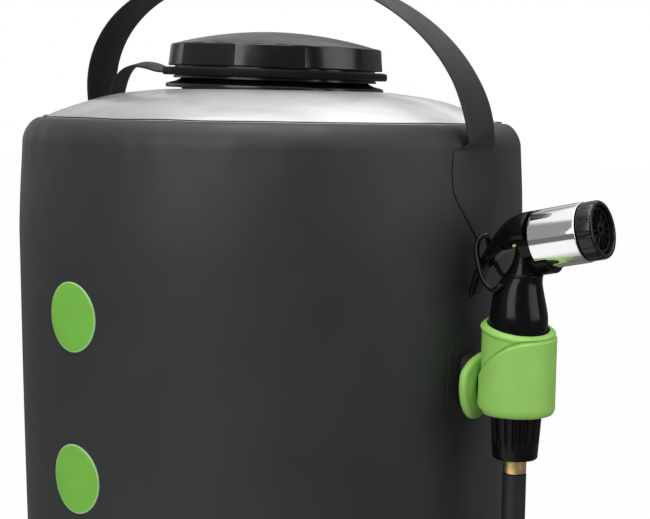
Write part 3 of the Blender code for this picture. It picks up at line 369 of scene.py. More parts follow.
def woven(rows, loop=False, caps=True, sharp=38.0):
    """A mesh through rings of points, with a flat map in metres for its weave."""
    bm = bmesh.new()
    chart = bm.loops.layers.uv.new("UVMap")
    grid = [[bm.verts.new(point) for point in row] for row in rows]
    middle = rows[len(rows) // 2]
    across = [0.0]
    for first, second in zip(middle, middle[1:] + middle[:1]):
        across.append(across[-1] + (Vector(second) - Vector(first)).length)
    along = [0.0]
    for first, second in zip(rows, rows[1:] + rows[:1]):
        along.append(along[-1] + (Vector(second[0]) - Vector(first[0])).length)
    for i in range(len(rows) if loop else len(rows) - 1):
        for j in range(len(middle)):
            k = (j + 1) % len(middle)
            m = (i + 1) % len(rows)
            face = bm.faces.new((grid[i][j], grid[i][k], grid[m][k], grid[m][j]))
            for corner, u, v in zip(face.loops, (j, j + 1, j + 1, j), (i, i, i + 1, i + 1)):
                corner[chart].uv = (across[u], along[v])
    if caps and not loop:
        bm.faces.new(grid[0])
        bm.faces.new(grid[-1])
    bmesh.ops.remove_doubles(bm, verts=bm.verts, dist=0.000002)
    bmesh.ops.recalc_face_normals(bm, faces=bm.faces)
    result = as_mesh(bm, "shape")
    result.set_sharp_from_angle(angle=radians(sharp))
    return result


def spun(profile, count, matrix, change=None, sharp=38.0):
    """A closed profile of (radius, height) turned about the group's Z axis."""
    rows = []
    for angle in turns(count):
        row = []
        for radius, height in profile:
            if change is not None:
                radius, height = change(radius, height, angle)
            row.append(matrix @ polar(radius, angle, height))
        rows.append(row)
    return woven(rows, loop=True, sharp=sharp)


def pipe(points, radius, sides=16):
    """A tube along points."""
    rows = []
    up = heading(points, 0).orthogonal().normalized()
    for index, point in enumerate(points):
        along = heading(points, index)
        up = (up - along * up.dot(along)).normalized()
        side = along.cross(up)
        rows.append([point + side * radius * cos(turn) + up * radius * sin(turn)
                     for turn in turns(sides)])
    return woven(rows, sharp=60.0)


def piece(name, data, surface, body, *replaced):
    """A visible piece that rides on a body and stands for the solids replaced."""
    result = placed(name, data)
    data.materials.append(skins[surface])
    if body is not None:
        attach(result, body)
    if replaced:
        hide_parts(*replaced)
    return result


def cut(data, cutters, soften):
    """A mesh less the room of other meshes, with its edges softened."""
    base = placed("base", data)
    tools = [placed("tool", cutter) for cutter in cutters]
    for tool in tools:
        step = base.modifiers.new("cut", "BOOLEAN")
        step.operation = "DIFFERENCE"
        step.solver = "EXACT"
        step.object = tool
    step = base.modifiers.new("soften", "BEVEL")
    step.width = soften
    step.segments = 2
    step.limit_method = "ANGLE"
    step.angle_limit = radians(35.0)
    bpy.context.view_layer.update()
    deps = bpy.context.evaluated_depsgraph_get()
    result = bpy.data.meshes.new_from_object(base.evaluated_get(deps))
    for spent in (base, *tools):
        bpy.data.objects.remove(spent, do_unlink=True)
    result.shade_smooth()
    result.set_sharp_from_angle(angle=radians(38.0))
    return result


# ---- bag

def wall_base(height):
    """The wall's outer radius at a height above the floor, without its folds."""
    if height > top - edge_deep:
        rise = max(1 - (top - height) / edge_deep, 0.0)
        out = (1 - rise ** edge_power) ** (1 / edge_power)
        return edge_in + (wall_out - shoulder_in - edge_in) * out
    if height > top - waist:
        share = (top - edge_deep - height) / (waist - edge_deep)
        return wall_out - shoulder_in * (1 - sin(pi / 2 * share))
    if height > foot_high:
        return wall_out - taper * (top - waist - height) / (top - waist - foot_high)
    rise = max(height - (foot_high - foot_deep), 0.0) / foot_deep
    return wall_out - taper - 0.01 * (1 - sqrt(max(1 - (1 - rise) ** 2, 0.0)))


def fold(angle, height):
    """How far the filled fabric stands in or out of its even shape."""
    calm = 1.0
    for quiet, width in ((holder_angle, 0.2), (radians(45.0), 0.2), (0.0, 0.22),
                         (pi, 0.22), (-pi, 0.22), (disc_angle, 0.24)):
        away = (angle - quiet + pi) % tau - pi
        calm *= 1 - 0.75 * exp(-(away / width) ** 2)

    def waves(scale, rise, lift):
        return noise.noise(polar(scale, angle, height * rise + lift))

    body = 0.0009 * waves(2.0, 4.0, 0.0) + 0.0004 * waves(7.0, 9.0, 5.0)
    edge = exp(-((height - 0.349) / 0.009) ** 2)
    pucker = 0.00022 * edge * sin(angle * 43 + 4 * waves(5.0, 0.0, 0.0))
    foot = exp(-((height - 0.016) / 0.01) ** 2)
    crease = 0.0004 * foot * sin(angle * 37 + 5 * waves(4.0, 0.0, 2.0))
    ends = ease(height, 0.002, 0.02) * (1 - ease(height, 0.352, top))
    return body * calm * ends + pucker + crease * ends


def wall_radius(angle, height):
    return wall_base(height) + fold(angle, height)


def make_bag():
    cloth = 0.0012
    heights = [top - edge_deep * (1 - cos(pi / 2 * step / 12) ** (2 / edge_power))
               for step in range(13)]
    heights += [heights[-1] - (heights[-1] - foot_high) * step / 60 for step in range(1, 61)]
    heights += [foot_high - foot_deep * sin(pi / 2 * step / 8) for step in range(1, 9)]
    outer = [(0.1205, top + 0.0001), (0.1228, top + 0.0002)]
    outer += [(wall_base(height), height) for height in heights]
    outer.append((outer[-1][0] - 0.007, outer[-1][1]))
    spots = [Vector(spot) for spot in outer]
    inner = []
    for index, (radius, height) in enumerate(outer):
        along = heading(spots, index)
        inner.append((radius + along.y * cloth, height - along.x * cloth))

    def folds(radius, height, angle):
        wave = 0.0
        if height > top - 0.004 and radius < 0.127:
            wave = 0.0005 * noise.noise(polar(3.2, angle, 7.0))
        return radius + fold(angle, height), height + wave

    piece("bag_skin", spun(outer + inner[::-1], 220, bag, folds, 60.0), "bag", "bag", "bag_wall")

    rim = edge_in - 0.0022
    low = top - 0.0004
    high = top + 0.016
    sheet_top = [(edge_in, top - 0.0019), (0.1236, top - 0.0016)]
    for step in range(31):
        share = step / 30
        sheet_top.append((rim + (neck_out - rim) * share,
                          low + (high - low) * sin(pi / 2 * share ** 0.86)))
    sheet = sheet_top + [(radius, height - 0.001) for radius, height in sheet_top[::-1]]

    def ripples(radius, height, angle):
        wide = ease(radius, 0.06, 0.085) * (1 - ease(radius, 0.112, 0.1225))
        near = ease(radius, 0.108, 0.113) * (1 - ease(radius, 0.1195, 0.1215))
        lift = 0.0011 * noise.noise(polar(radius * 16, angle, 3.0))
        lift += 0.0005 * noise.noise(polar(2.6, angle, radius * 30)) * wide
        lift += 0.0007 * noise.noise(polar(5.5, angle, radius * 60)) * near
        return radius, height + lift * max(wide, near)

    piece("clear_top", spun(sheet, 200, bag, ripples, 60.0), "film", "bag", "top_panel")
    # The weld line that joins the clear top to the wall
    weld = [polar(0.1222, angle, top + 0.0007 + 0.0008 * noise.noise(polar(3.2, angle, 7.0)))
            for angle in turns(400) + [tau]]
    piece("top_weld", pipe(weld, 0.0003, 8), "weld", "bag")


def wall_sheet(outline, turn, thickness):
    """A thin closed patch on the wall, from rows of (height, half width) about an angle."""
    rows = []
    for height, half_width in outline:
        row = []
        for side in (1, -1):
            for column in range(17)[::side]:
                angle = turn + half_width * (column / 8 - 1) / wall_base(height)
                lift = gap + thickness if side > 0 else -0.0001
                row.append(polar(wall_radius(angle, height) + lift, angle, height))
        rows.append(row)
    return woven(rows, sharp=50.0)


def make_discs():
    rings = ((0.0, 0.00062), (0.3, 0.00062), (0.6, 0.00061), (0.8, 0.0006), (0.93, 0.00058),
             (0.962, 0.0005), (0.975, 0.00052), (0.992, 0.00045), (1.0, 0.0002), (1.0, -0.0003))
    for index, name in enumerate(("disc_upper", "disc_middle", "disc_lower")):
        centre = top - 0.095 - 0.08 * index
        rows = []
        for share, lift in rings:
            row = []
            for turn in turns(72):
                height = centre + disc_size * share * sin(turn)
                side = disc_angle + disc_size * share * cos(turn) / wall_base(height)
                row.append(polar(wall_radius(side, height) + 0.0002 + lift, side, height))
            rows.append(row)
        data = woven(rows, caps=False, sharp=50.0)
        piece(f"{name}_face", data, "disc", "bag", name)
        data.materials.append(skins["disc_rim"])
        for face in data.polygons:
            spot = face.center
            across = (atan2(spot.y, spot.x) - disc_angle) * 0.1335
            if hypot(spot.z - centre, across) > disc_size * 0.963:
                face.material_index = 1


def make_neck_and_cap():
    profile = [(0.045, 0.036), (0.05, 0.036)]
    for low in (0.03, 0.0256):
        profile += [(0.05, low + 0.0022), (0.0511, low + 0.00165), (0.0511, low + 0.00055),
                    (0.05, low)]
    profile += [(0.05, 0.0216), (0.0505, 0.021), (0.0535, 0.0196), (0.0575, 0.0187),
                (0.0585, 0.0182), (0.0585, 0.0162), (0.0503, 0.0164),
                (0.0488, 0.0138), (0.0488, 0.01), (0.045, 0.01)]
    piece("neck_collar", spun(rounded(profile, 0.0007), 128, neck), "cap", "bag", "filler_neck")
    seal = [(0.045, 0.0381), (0.05, 0.0381), (0.05, 0.0363), (0.045, 0.0363)]
    piece("seal_ring", spun(rounded(seal, 0.0004), 96, neck), "rubber", "cap", "cap_seal")

    sides = 10
    steps = 12
    width = tau / sides
    first = radians(-35.2)

    def level(radius, height, faceted):
        """A ring of points, from round at 0 to ten-sided with soft corners at 1."""
        row = []
        for index in range(sides * steps):
            offset = (index % steps / steps - 0.5) * width
            held = min(abs(offset), width / 2 * 0.955)
            flat = cos(width / 2) / cos(held)
            scale = 1 + (flat - 1) * faceted * 0.66
            row.append(neck @ polar(radius * scale, width * index / steps + first, height))
        return row

    rows = []
    for step in range(1, 15):
        turn = pi / 2 * step / 14
        rows.append(level(0.0494 * sqrt(1 - cos(turn)), 0.0408 + 0.0062 * cos(turn), 0.0))
    rows += [level(*station) for station in (
        (0.052, 0.0401, 0.3), (0.0555, 0.0395, 0.8), (0.0562, 0.0393, 1.0),
        (0.0566, 0.0389, 1.0), (0.0568, 0.0383, 1.0), (0.0576, 0.03, 1.0),
        (0.0578, 0.0284, 1.0), (0.0577, 0.0279, 1.0), (0.0573, 0.0277, 1.0),
        (0.054, 0.0277, 0.0), (0.0537, 0.0276, 0.0), (0.0537, 0.0226, 0.0),
        (0.0545, 0.0223, 0.0), (0.0545, 0.0213, 0.0), (0.0525, 0.0212, 0.0),
        (0.0523, 0.0215, 0.0), (0.0523, 0.0384, 0.0))]
    piece("cap_shell", woven(rows, sharp=16.0), "cap", "cap", "screw_cap")

    ring = [(0.0543, 0.0269), (0.059, 0.0269), (ring_out, 0.0262), (ring_out, 0.0235),
            (0.0597, 0.0227), (0.0543, 0.0227)]
    piece("tether_band", spun(rounded(ring, 0.0006), 128, neck), "ring", "cap_ring", "tether_ring")


def ribbon(path, half, thickness, matrix, sides, bulge=0.0):
    """A flat strap with soft edges along a path; sides gives the way its width runs."""
    rows = []
    for index, point in enumerate(path):
        along = heading(path, index)
        side = (sides[index] - along * sides[index].dot(along)).normalized()
        up = side.cross(along)
        row = []
        for step in range(24):
            turn = tau * (step + 0.5) / 24
            y = half * signed_power(cos(turn), 0.28)
            lift = thickness / 2 * signed_power(sin(turn), 0.55)
            lift *= 1 + bulge * (1 - (y / half) ** 2)
            row.append(matrix @ (point + side * y + up * lift))
        rows.append(row)
    return woven(rows, sharp=50.0)


def level_side(turn):
    """The way a strap's width runs, turned about the strap's length."""
    return Vector((0.0, cos(turn), sin(turn)))


def make_straps():
    middle = 0.0248
    start = (middle * sin(neck_lean) - ring_out * cos(neck_lean) - gap,
             middle * cos(neck_lean) + ring_out * sin(neck_lean))
    route = [(reach, 0.0, top + height) for reach, height in (
        start, (-0.0715, 0.0262), (-0.082, 0.0271), (-0.0905, 0.0292), (-0.098, 0.0303),
        (-0.1045, 0.0301), (-0.11, 0.0282), (-0.1145, 0.0244), (-0.1178, 0.019),
        (-0.1198, 0.013), (-0.12, 0.0085), (-0.1172, 0.0063), (-0.10948, 0.0067))]
    path = evenly(curve_through(route, 12), 0.0016)
    done = [index / (len(path) - 1) for index in range(len(path))]
    twists = [level_side(radians(13.0) * ease(part, 0.05, 0.4) * (1 - ease(part, 0.55, 0.85)))
              for part in done]
    tether = piece("tether_strap", ribbon(path, 0.006, 0.0014, bag, twists), "strap", None,
                   "cap_tether")
    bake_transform(tether)

    power = 2 / 2.2
    arch = [Vector((handle_reach * signed_power(cos(turn), power), 0.0,
                    0.085 * abs(sin(turn)) ** power))
            for turn in (pi * step / 120 for step in range(121))]
    path = evenly(arch, 0.0024)
    upright = [level_side(-handle_lean * ease(spot.z, 0.0, 0.03)) for spot in path]
    piece("handle_strap", ribbon(path, handle_half, 0.0016, handle, upright, 0.08),
          "patch", "handle", "carry_handle")

    # Each leaf narrows into a neck that bends with the strap's end
    leaf = ((0.0565, 0.0003), (0.0554, 0.0011), (0.0533, 0.0026), (0.0501, 0.0052),
            (0.046, 0.0084), (0.0418, 0.0118), (0.0372, 0.0155), (0.032, 0.0181),
            (0.0257, 0.019), (0.0194, 0.0188), (0.014, 0.0177), (0.0115, 0.0164),
            (0.0092, 0.0145), (0.0075, 0.0127), (0.0062, 0.0113), (0.005, handle_half),
            (0.004, handle_half))
    outline = curve_through(leaf, 4)
    shares = [column / 12 - 1 for column in range(25)]
    for name, side in (("handle_patch_right", 1), ("handle_patch_left", -1)):
        centre = handle_turn + (0.0 if side > 0 else pi)
        rows = []
        for down, half in outline:
            height = top - down
            follow = 1 - ease(down, 0.0045, 0.0125)
            deep = 0.0005 + 0.0011 * follow
            row = []
            for face in (1, -1):
                for share in shares[::face]:
                    lift = face * deep / 2 * sqrt(max(1 - abs(share) ** 10, 0.0))
                    angle = centre + side * half * share / wall_base(height)
                    low = polar(wall_radius(angle, height) + gap + deep / 2 + lift, angle, height)
                    high = handle @ Vector((side * (handle_reach + lift), side * half * share,
                                            (height - top + 0.004) / cos(handle_lean)))
                    row.append(low.lerp(high, follow))
            rows.append(row)
        item = piece(f"{name}_skin", woven(rows, sharp=50.0), "patch", None, name)
        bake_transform(item)
        # Welded dotted line just inside the patch's edge
        line = []
        for down, half in outline:
            if 0.015 < down < 0.04:
                height = top - down
                angle = centre - side * (half - 0.0013) / wall_base(height)
                line.append(polar(wall_radius(angle, height) + gap + 0.0005, angle, height))
        dots = bmesh.new()
        for spot in evenly(line, 0.0011):
            bmesh.ops.create_icosphere(dots, subdivisions=1, radius=0.0003,
                                       matrix=Matrix.Translation(spot))
        piece(f"{name}_weld", as_mesh(dots, "dots"), "weld", "bag")


# ---- holder

def grip_radius_at(height):
    """The grip's radius at a height below the edge, inside the holder."""
    stations = ((0.0, 0.863), (0.229, 0.906), (0.388, 0.957), (0.547, 1.0), (0.621, 0.957))
    return grip_out * between(stations, (height - grip_low) / grip_tall)


def flap_edge(angle):
    """Lowest and highest point of the wrap's outer layer, at an angle in degrees."""
    spots = ((-168.0, -0.1262), (-163.0, -0.1216), (-152.0, -0.119), (-140.0, -0.1172),
             (-112.0, -0.1112), (-93.0, -0.1065), (-73.0, -0.1026), (-52.0, -0.1002),
             (-28.0, -0.0997), (12.0, -0.0992), (60.0, -0.0975), (110.0, -0.0962),
             (160.0, -0.096))
    if angle <= spots[0][0]:
        return -0.129, spots[0][1]
    lower = -0.15
    if angle < -118.0:
        lower = -0.1345 + 0.007 * min((-118.0 - angle) / 50.0, 1.0) ** 2.2
    return lower, between(spots, angle)


def make_holder():
    bottom = -0.1362
    tall = 150
    rows = []
    for angle in turns(200):
        bearing = (degrees(angle) + 180.0) % 360.0 - 180.0
        rim = -(0.0941 - 0.0032 * cos(angle - radians(153.0)))
        lower, upper = flap_edge(bearing)
        profile = []
        for step in range(tall + 1):
            height = bottom + (rim - bottom) * (step / tall)
            # The outer layer, with a groove along its upper edge
            inside = min(ease(height, lower - 0.0004, lower + 0.0012),
                         1 - ease(height, upper - 0.0011, upper + 0.0003))
            if bearing < -160.0:
                inside *= ease(bearing, -169.0, -160.0)
            if bearing > 150.0:
                inside *= 1 - ease(bearing, 150.0, 165.0)
            radius = 0.0172 + 0.0012 * inside
            if -165.0 < bearing < 150.0:
                radius -= 0.0011 * exp(-((height - upper - 0.0004) / 0.00048) ** 2)
            # The rounded foot and the lip round the rim
            foot = min((height - bottom) / 0.0042, 1.0)
            radius -= 0.0024 * (1 - sqrt(max(1 - (1 - foot) ** 2, 0.0)))
            lip = max(1 - (rim - height) / 0.0034, 0.0)
            radius += 0.0007 * sin(pi * min(lip * 1.15, 1.0))
            if lip > 0.55:
                radius -= 0.0012 * ((lip - 0.55) / 0.45) ** 2
            radius += 0.00012 * noise.noise(polar(3, angle, height * 90))
            profile.append((radius, height))
        inner_top = rim + 0.0002
        for step in range(13):
            height = inner_top + (bottom - inner_top) * step / 12
            radius = grip_radius_at(min(max(height, -0.1366), -0.088)) + 0.0004
            profile.append((radius if step else radius + 0.0008, height))
        rows.append([holder @ (Vector((holder_reach, 0.0, 0.0)) + polar(radius, angle, height))
                     for radius, height in profile])
    piece("wrap_skin", woven(rows, loop=True, sharp=60.0), "green", "bag", "holder_wrap")

    # The tongue's outline, in millimetres sideways and up from the edge of the bag
    ear = ((1.5, -108.6), (-8.0, -110.7), (-13.1, -113.3), (-17.4, -117.3), (-18.7, -123.3),
           (-18.1, -129.7), (-15.9, -135.4), (-12.0, -139.9), (-7.2, -141.1), (-1.8, -139.2),
           (-0.8, -136.4), (-4.4, -134.8), (-7.4, -130.8), (-8.4, -125.0), (-7.4, -119.8),
           (-4.6, -117.0), (1.0, -115.4), (4.6, -112.2))
    edge = curve_through((ear[-1],) + ear + ear[:2], 6)[6:-6]
    edge = evenly([Vector((spot[0], spot[1], 0.0)) / 1000 for spot in edge], 0.0008)[:-1]
    inward = []
    for index in range(len(edge)):
        along = edge[(index + 1) % len(edge)] - edge[index - 1]
        inward.append(Vector((-along.y, along.x, 0.0)).normalized())
    loops = []
    for x, shrink in ((0.0, 0.0014), (0.0006, 0.0005), (0.0014, 0.0001), (0.0026, 0.0),
                      (0.0036, 0.0003), (0.0043, 0.0009), (0.0047, 0.0018)):
        marks = [spot + way * shrink for spot, way in zip(edge, inward)]
        loops.append([holder @ Vector((0.1402 + x, mark.x + 0.0014, mark.y)) for mark in marks])
    piece("wrap_tongue", woven(loops, sharp=60.0), "green", "bag")
    block = [[holder @ Vector((x, 0.0078 * signed_power(cos(turn), 0.5),
                               holder_middle + 0.012 * signed_power(sin(turn), 0.5)))
              for turn in turns(32)] for x in (0.1345, 0.1402)]
    piece("pad_block", woven(block, sharp=60.0), "black", "bag", "holder_pad")

    outline = []
    for step in range(34):
        side = 1 if step < 17 else -1
        turn = pi / 2 * (step if side > 0 else 33 - step) / 16
        outline.append((top + holder_middle + side * (0.02 - 0.008 * (1 - cos(turn))),
                        0.015 - 0.008 * (1 - sin(turn))))
    piece("holder_patch_skin", wall_sheet(outline, holder_angle, 0.0002), "bag", "bag",
          "holder_patch")


# ---- spray head

def make_grip():
    stations = (
        (0.0, 0.0, 0.863, 0.863), (0.229, 0.0, 0.906, 0.906), (0.388, 0.0, 0.957, 0.957),
        (0.547, 0.0, 1.0, 1.0), (0.621, -0.007, 0.957, 0.964), (0.694, -0.022, 0.878, 0.892),
        (0.767, 0.029, 0.748, 0.777), (0.816, 0.137, 0.647, 0.676), (0.865, 0.204, 0.515, 0.604),
        (0.927, 0.246, 0.402, 0.561), (1.0, 0.275, 0.373, 0.532),
    )
    rows = []
    for up, forward, length, width in curve_through(stations, 12):
        height = grip_tall * up + grip_low
        rim = 0.00035 * exp(-((height + 0.0697) / 0.0005) ** 2)
        rows.append([head @ Vector((
            grip_out * forward + (grip_out * length + rim) * cos(turn),
            (grip_out * width + rim) * sin(turn), height)) for turn in turns(64)])
    piece("grip_shell", woven(rows, sharp=50.0), "gloss", "spray_head", "grip_body")
    core = [(0.0, 0.0273), (0.0092, 0.0273), (0.0095, 0.027), (0.0095, 0.024),
            (0.01085, 0.024), (0.01085, -0.0069), (0.0092, -0.0085), (0.0, -0.0085)]
    piece("barrel_core", spun(core, 72, barrel), "gloss", "spray_head")

    sleeve = [(0.01115, 0.024), (0.01415, 0.024), (0.01415, 0.0), (0.01115, 0.0)]
    piece("sleeve_shell", spun(rounded(sleeve, 0.0006, 5), 160, barrel, sharp=60.0),
          "chrome", "spray_head", "barrel_sleeve")

    # The valve's spring, a coil that stays in place
    low, high = 0.00975, 0.02455
    coil = [barrel @ polar(0.004, tau * step / 24, low + (high - low) * step / 120)
            for step in range(121)]
    spring = piece("spring_coil", pipe(coil, 0.00045, 10), "steel", None, "valve_spring")
    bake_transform(spring)

    # The cup under the sleeve's back end, thin at its upper edges
    rows = []
    reaches = [radians(46.0) * (step / 12 - 1) for step in range(25)]
    for step in range(13):
        height = -0.006 + 0.0115 * step / 12
        inner = 0.0145 if height > -0.0004 else 0.011
        deep = 0.0115 + 0.005 * ease(height, -0.0075, -0.0015) - inner
        row = [polar(inner + max(deep * cos(turn * 1.5), 0.0003), turn, height)
               for turn in reaches]
        row += [polar(inner, turn, height) for turn in reaches[::-1]]
        rows.append([barrel @ spot for spot in row])
    piece("sleeve_cup", woven(rows, sharp=50.0), "gloss", "spray_head")

    def notches(radius, height, angle):
        if radius < 0.0125 or not 0.0252 < height < 0.0318:
            return radius, height
        step = (angle * 12 / tau) % 1.0
        depth = ease(step, 0.0, 0.1) * (1 - ease(step, 0.28, 0.38))
        return radius - 0.0002 * depth, height

    profile = [(0.0098, 0.0276), (0.01145, 0.0276), (0.01145, 0.0323), (0.01305, 0.0323),
               (0.01375, 0.0312), (0.01375, 0.0251), (0.01325, 0.0243), (0.0098, 0.0243)]
    piece("nozzle_ring", spun(rounded(profile, 0.0005), 192, barrel, notches, 55.0), "cap",
          "nozzle", "pattern_ring")

    disc = [(0.0, 0.0295), (0.0109, 0.0295), (0.0111, 0.0292), (0.0111, 0.0279), (0.0, 0.0279)]
    piece("insert_plate", spun(disc, 72, barrel), "insert", "nozzle", "spray_insert")
    floor = 0.029
    for index, (inner, outer, high, count) in enumerate(((0.0094, 0.0108, 0.0306, 72),
                                                         (0.0014, 0.0032, 0.0308, 40))):
        profile = [(inner, high), (outer, high), (outer, floor), (inner, floor)]
        piece(f"insert_rim_{index + 1}", spun(rounded(profile, 0.0003), count, barrel),
              "insert", "nozzle")
    for index, angle in enumerate(turns(12)):
        turn = Matrix.Rotation(angle, 4, "Z")
        rows = []
        for x, half in zip((0.003, 0.0034, 0.0092, 0.0096), (0.0004, 0.00055, 0.00055, 0.0004)):
            rows.append([barrel @ turn @ Vector((x, y, z)) for y, z in (
                (-half, floor), (half, floor), (half, 0.0302), (half * 0.5, 0.0306),
                (-half * 0.5, 0.0306), (-half, 0.0302))])
        piece(f"insert_rib_{index + 1}", woven(rows), "insert", "nozzle")


def make_lever():
    stations = (
        (0.059, 0.144, 0.082, -0.171, 1.0), (-0.013, 0.123, 0.012, -0.18, 0.986),
        (-0.135, 0.06, -0.076, -0.205, 0.906), (-0.233, -0.028, -0.177, -0.251, 0.761),
        (-0.324, -0.133, -0.282, -0.31, 0.609), (-0.412, -0.259, -0.357, -0.36, 0.478),
        (-0.5, -0.402, -0.422, -0.44, 0.406), (-0.563, -0.537, -0.481, -0.554, 0.384),
        (-0.594, -0.675, -0.528, -0.684, 0.384), (-0.613, -0.764, -0.56, -0.772, 0.362),
    )
    size = 0.0476
    pin = Vector((0.0102 - 0.005 * cos(tilt) - 0.008 * sin(tilt), 0.0,
                  0.008 * cos(tilt) - 0.005 * sin(tilt) - 0.0526))
    pivot = head @ Matrix.Translation(pin)
    rows = []
    smooth = curve_through(stations, 8)
    for index, (upper_x, upper_z, lower_x, lower_z, width) in enumerate(smooth):
        upper = Vector((upper_x, 0.0, upper_z)) * size
        lower = Vector((lower_x, 0.0, lower_z)) * size
        blunt = min((len(smooth) - 1 - index) / 5.0, 1.0)
        shrink = 0.45 + 0.55 * sqrt(1 - (1 - blunt) ** 2)
        side = Vector((0.0, 0.0138 * width * shrink, 0.0))
        rows.append([pivot @ ((upper + lower) / 2
                              + (upper - lower) / 2 * shrink * signed_power(sin(turn), 0.5)
                              + side * signed_power(cos(turn), 0.5)) for turn in turns(64)])
    # The barrel's room in the lever: a hollow that widens to the front, open on one side
    back, front, wide = -0.0164, 0.024, 0.0122
    hollow = [[barrel @ polar(radius, turn, height) for turn in turns(64)]
              for radius, height in ((0.0074, back), (0.0102, -0.0112), (wide, -0.0065),
                                     (wide, front))]
    slot = [[barrel @ Vector((x, y, height)) for x, y in (
        (0.0, -wide), (0.0, wide), (2 * wide, wide), (2 * wide, -wide))]
        for height in (back, front)]
    data = cut(woven(rows, sharp=60.0), (woven(hollow), woven(slot)), 0.0004)
    piece("lever_shell", data, "gloss", "trigger", "trigger_lever")


def make_lock_ring():
    place = head @ Matrix.Translation((-0.0042, 0.0, -0.0745))
    half, tall = 0.0112, 0.0267
    side = [(0.0, 0.0084, 0.0), (0.0, half, 0.0)]
    for back, up, width in ((-0.135, -0.075, 1.0), (-0.3, 0.011, 0.96), (-0.434, 0.187, 0.84),
                            (-0.532, 0.393, 0.7), (-0.592, 0.599, 0.58), (-0.592, 0.749, 0.44),
                            (-0.577, 0.816, 0.26), (-0.575, 0.826, 0.0)):
        side.append((tall * back, half * width, tall * up))
    route = [(x, -y, z) for x, y, z in side[:-1]] + side[::-1]
    points = [place @ spot for spot in evenly(curve_through(route, 12), 0.0008)]
    piece("lock_loop", pipe(points, 0.00135), "gloss", "lock", "lock_ring")


def make_hose_end():
    def ribs(radius, height, angle):
        if radius < 0.01 or height < -0.1565:
            return radius, height
        step = (angle * 20 / tau) % 1.0
        groove = ease(step, 0.0, 0.16) * (1 - ease(step, 0.34, 0.5))
        return radius - 0.0009 * groove * ease(height, -0.1512, -0.1478), height

    profile = [(0.0088, -0.137), (0.0119, -0.137)]
    profile += [(0.0122 - 0.0014 * (step / 12), -0.1372 - 0.02 * (step / 12))
                for step in range(12)]
    profile += [(0.0108, -0.1572), (0.0102, -0.1578), (0.006, -0.1578), (0.006, -0.1503),
                (0.0088, -0.1503)]
    piece("nut_shell", spun(profile, 240, head, ribs, 55.0), "gloss", "spray_head", "hose_nut")

    profile = [(0.0035, -0.1485), (0.0078, -0.1485), (0.0078, -0.15), (0.0056, -0.15),
               (0.0056, -0.1582), (0.0055, -0.1584), (0.0055, -0.1586), (0.0056, -0.1588),
               (0.0056, -0.1648), (0.0053, -0.1652), (0.0035, -0.1652)]
    piece("tail_tube", spun(rounded(profile, 0.00015, 2), 72, head), "brass",
          "spray_head", "hose_tail")


# ---- hose

def make_hose():
    radius = 0.00575
    low = 0.00655  # the hose's middle where it lies on the floor
    stack = 0.012  # from one layer of the coil to the next
    rounds = 4.5
    drop = [(0.1621, -0.0113, height) for height in (0.1945, 0.183, 0.13, 0.09, 0.0646)]
    drop += [(0.1656, -0.0113, 0.0469), (0.1756, -0.0113, 0.032), (0.1905, -0.0113, 0.0221),
             (0.2081, -0.0113, low + stack)]
    back = [(0.2072, 0.1357, low), (0.1852, 0.1357, 0.0093), (0.1672, 0.1357, 0.0161),
            (0.1566, 0.1357, 0.0217), (0.1434, 0.1339, 0.0267), (0.1314, 0.129, 0.0293),
            (0.1209, 0.1209, 0.03), (0.1119, 0.1119, 0.03), (0.1029, 0.1029, 0.03)]
    coil = []
    steps = round(rounds * 48)
    for step in range(steps + 1):
        done = rounds * step / steps
        inward = rounds / 2 - abs(done - rounds / 2)
        climb = min(max((done - 2) / 0.5, 0.0), 1.0)
        height = low + stack * (1 + cos(pi * climb)) / 2
        spot = polar(0.0735 - 0.0122 * inward, tau * done - pi / 2, height)
        coil.append(Vector((0.225, 0.0622, 0.0)) + spot)
    path = evenly(curve_through(drop, 12), 0.005)
    path += [Vector((x, -0.0113, low + stack)) for x in (0.2135, 0.2192)] + coil
    path += [Vector((x, 0.1357, low)) for x in (0.2192, 0.2135)]
    path += evenly(curve_through(back, 12), 0.005)
    hose = piece("hose", pipe(path, radius, 20), "hose", None,
                 "hose_drop", "hose_coil", "hose_return")
    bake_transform(hose)


# ---- studio

def either(tree, first, second):
    return node(tree, "Math", {0: first, 1: second}, operation="MAXIMUM").outputs[0]


def mix_shader(tree, factor, first, second, surface):
    result = node(tree, "MixShader", {0: factor, 1: first.outputs[0], 2: second.outputs[0]})
    tree.links.new(result.outputs[0], surface)


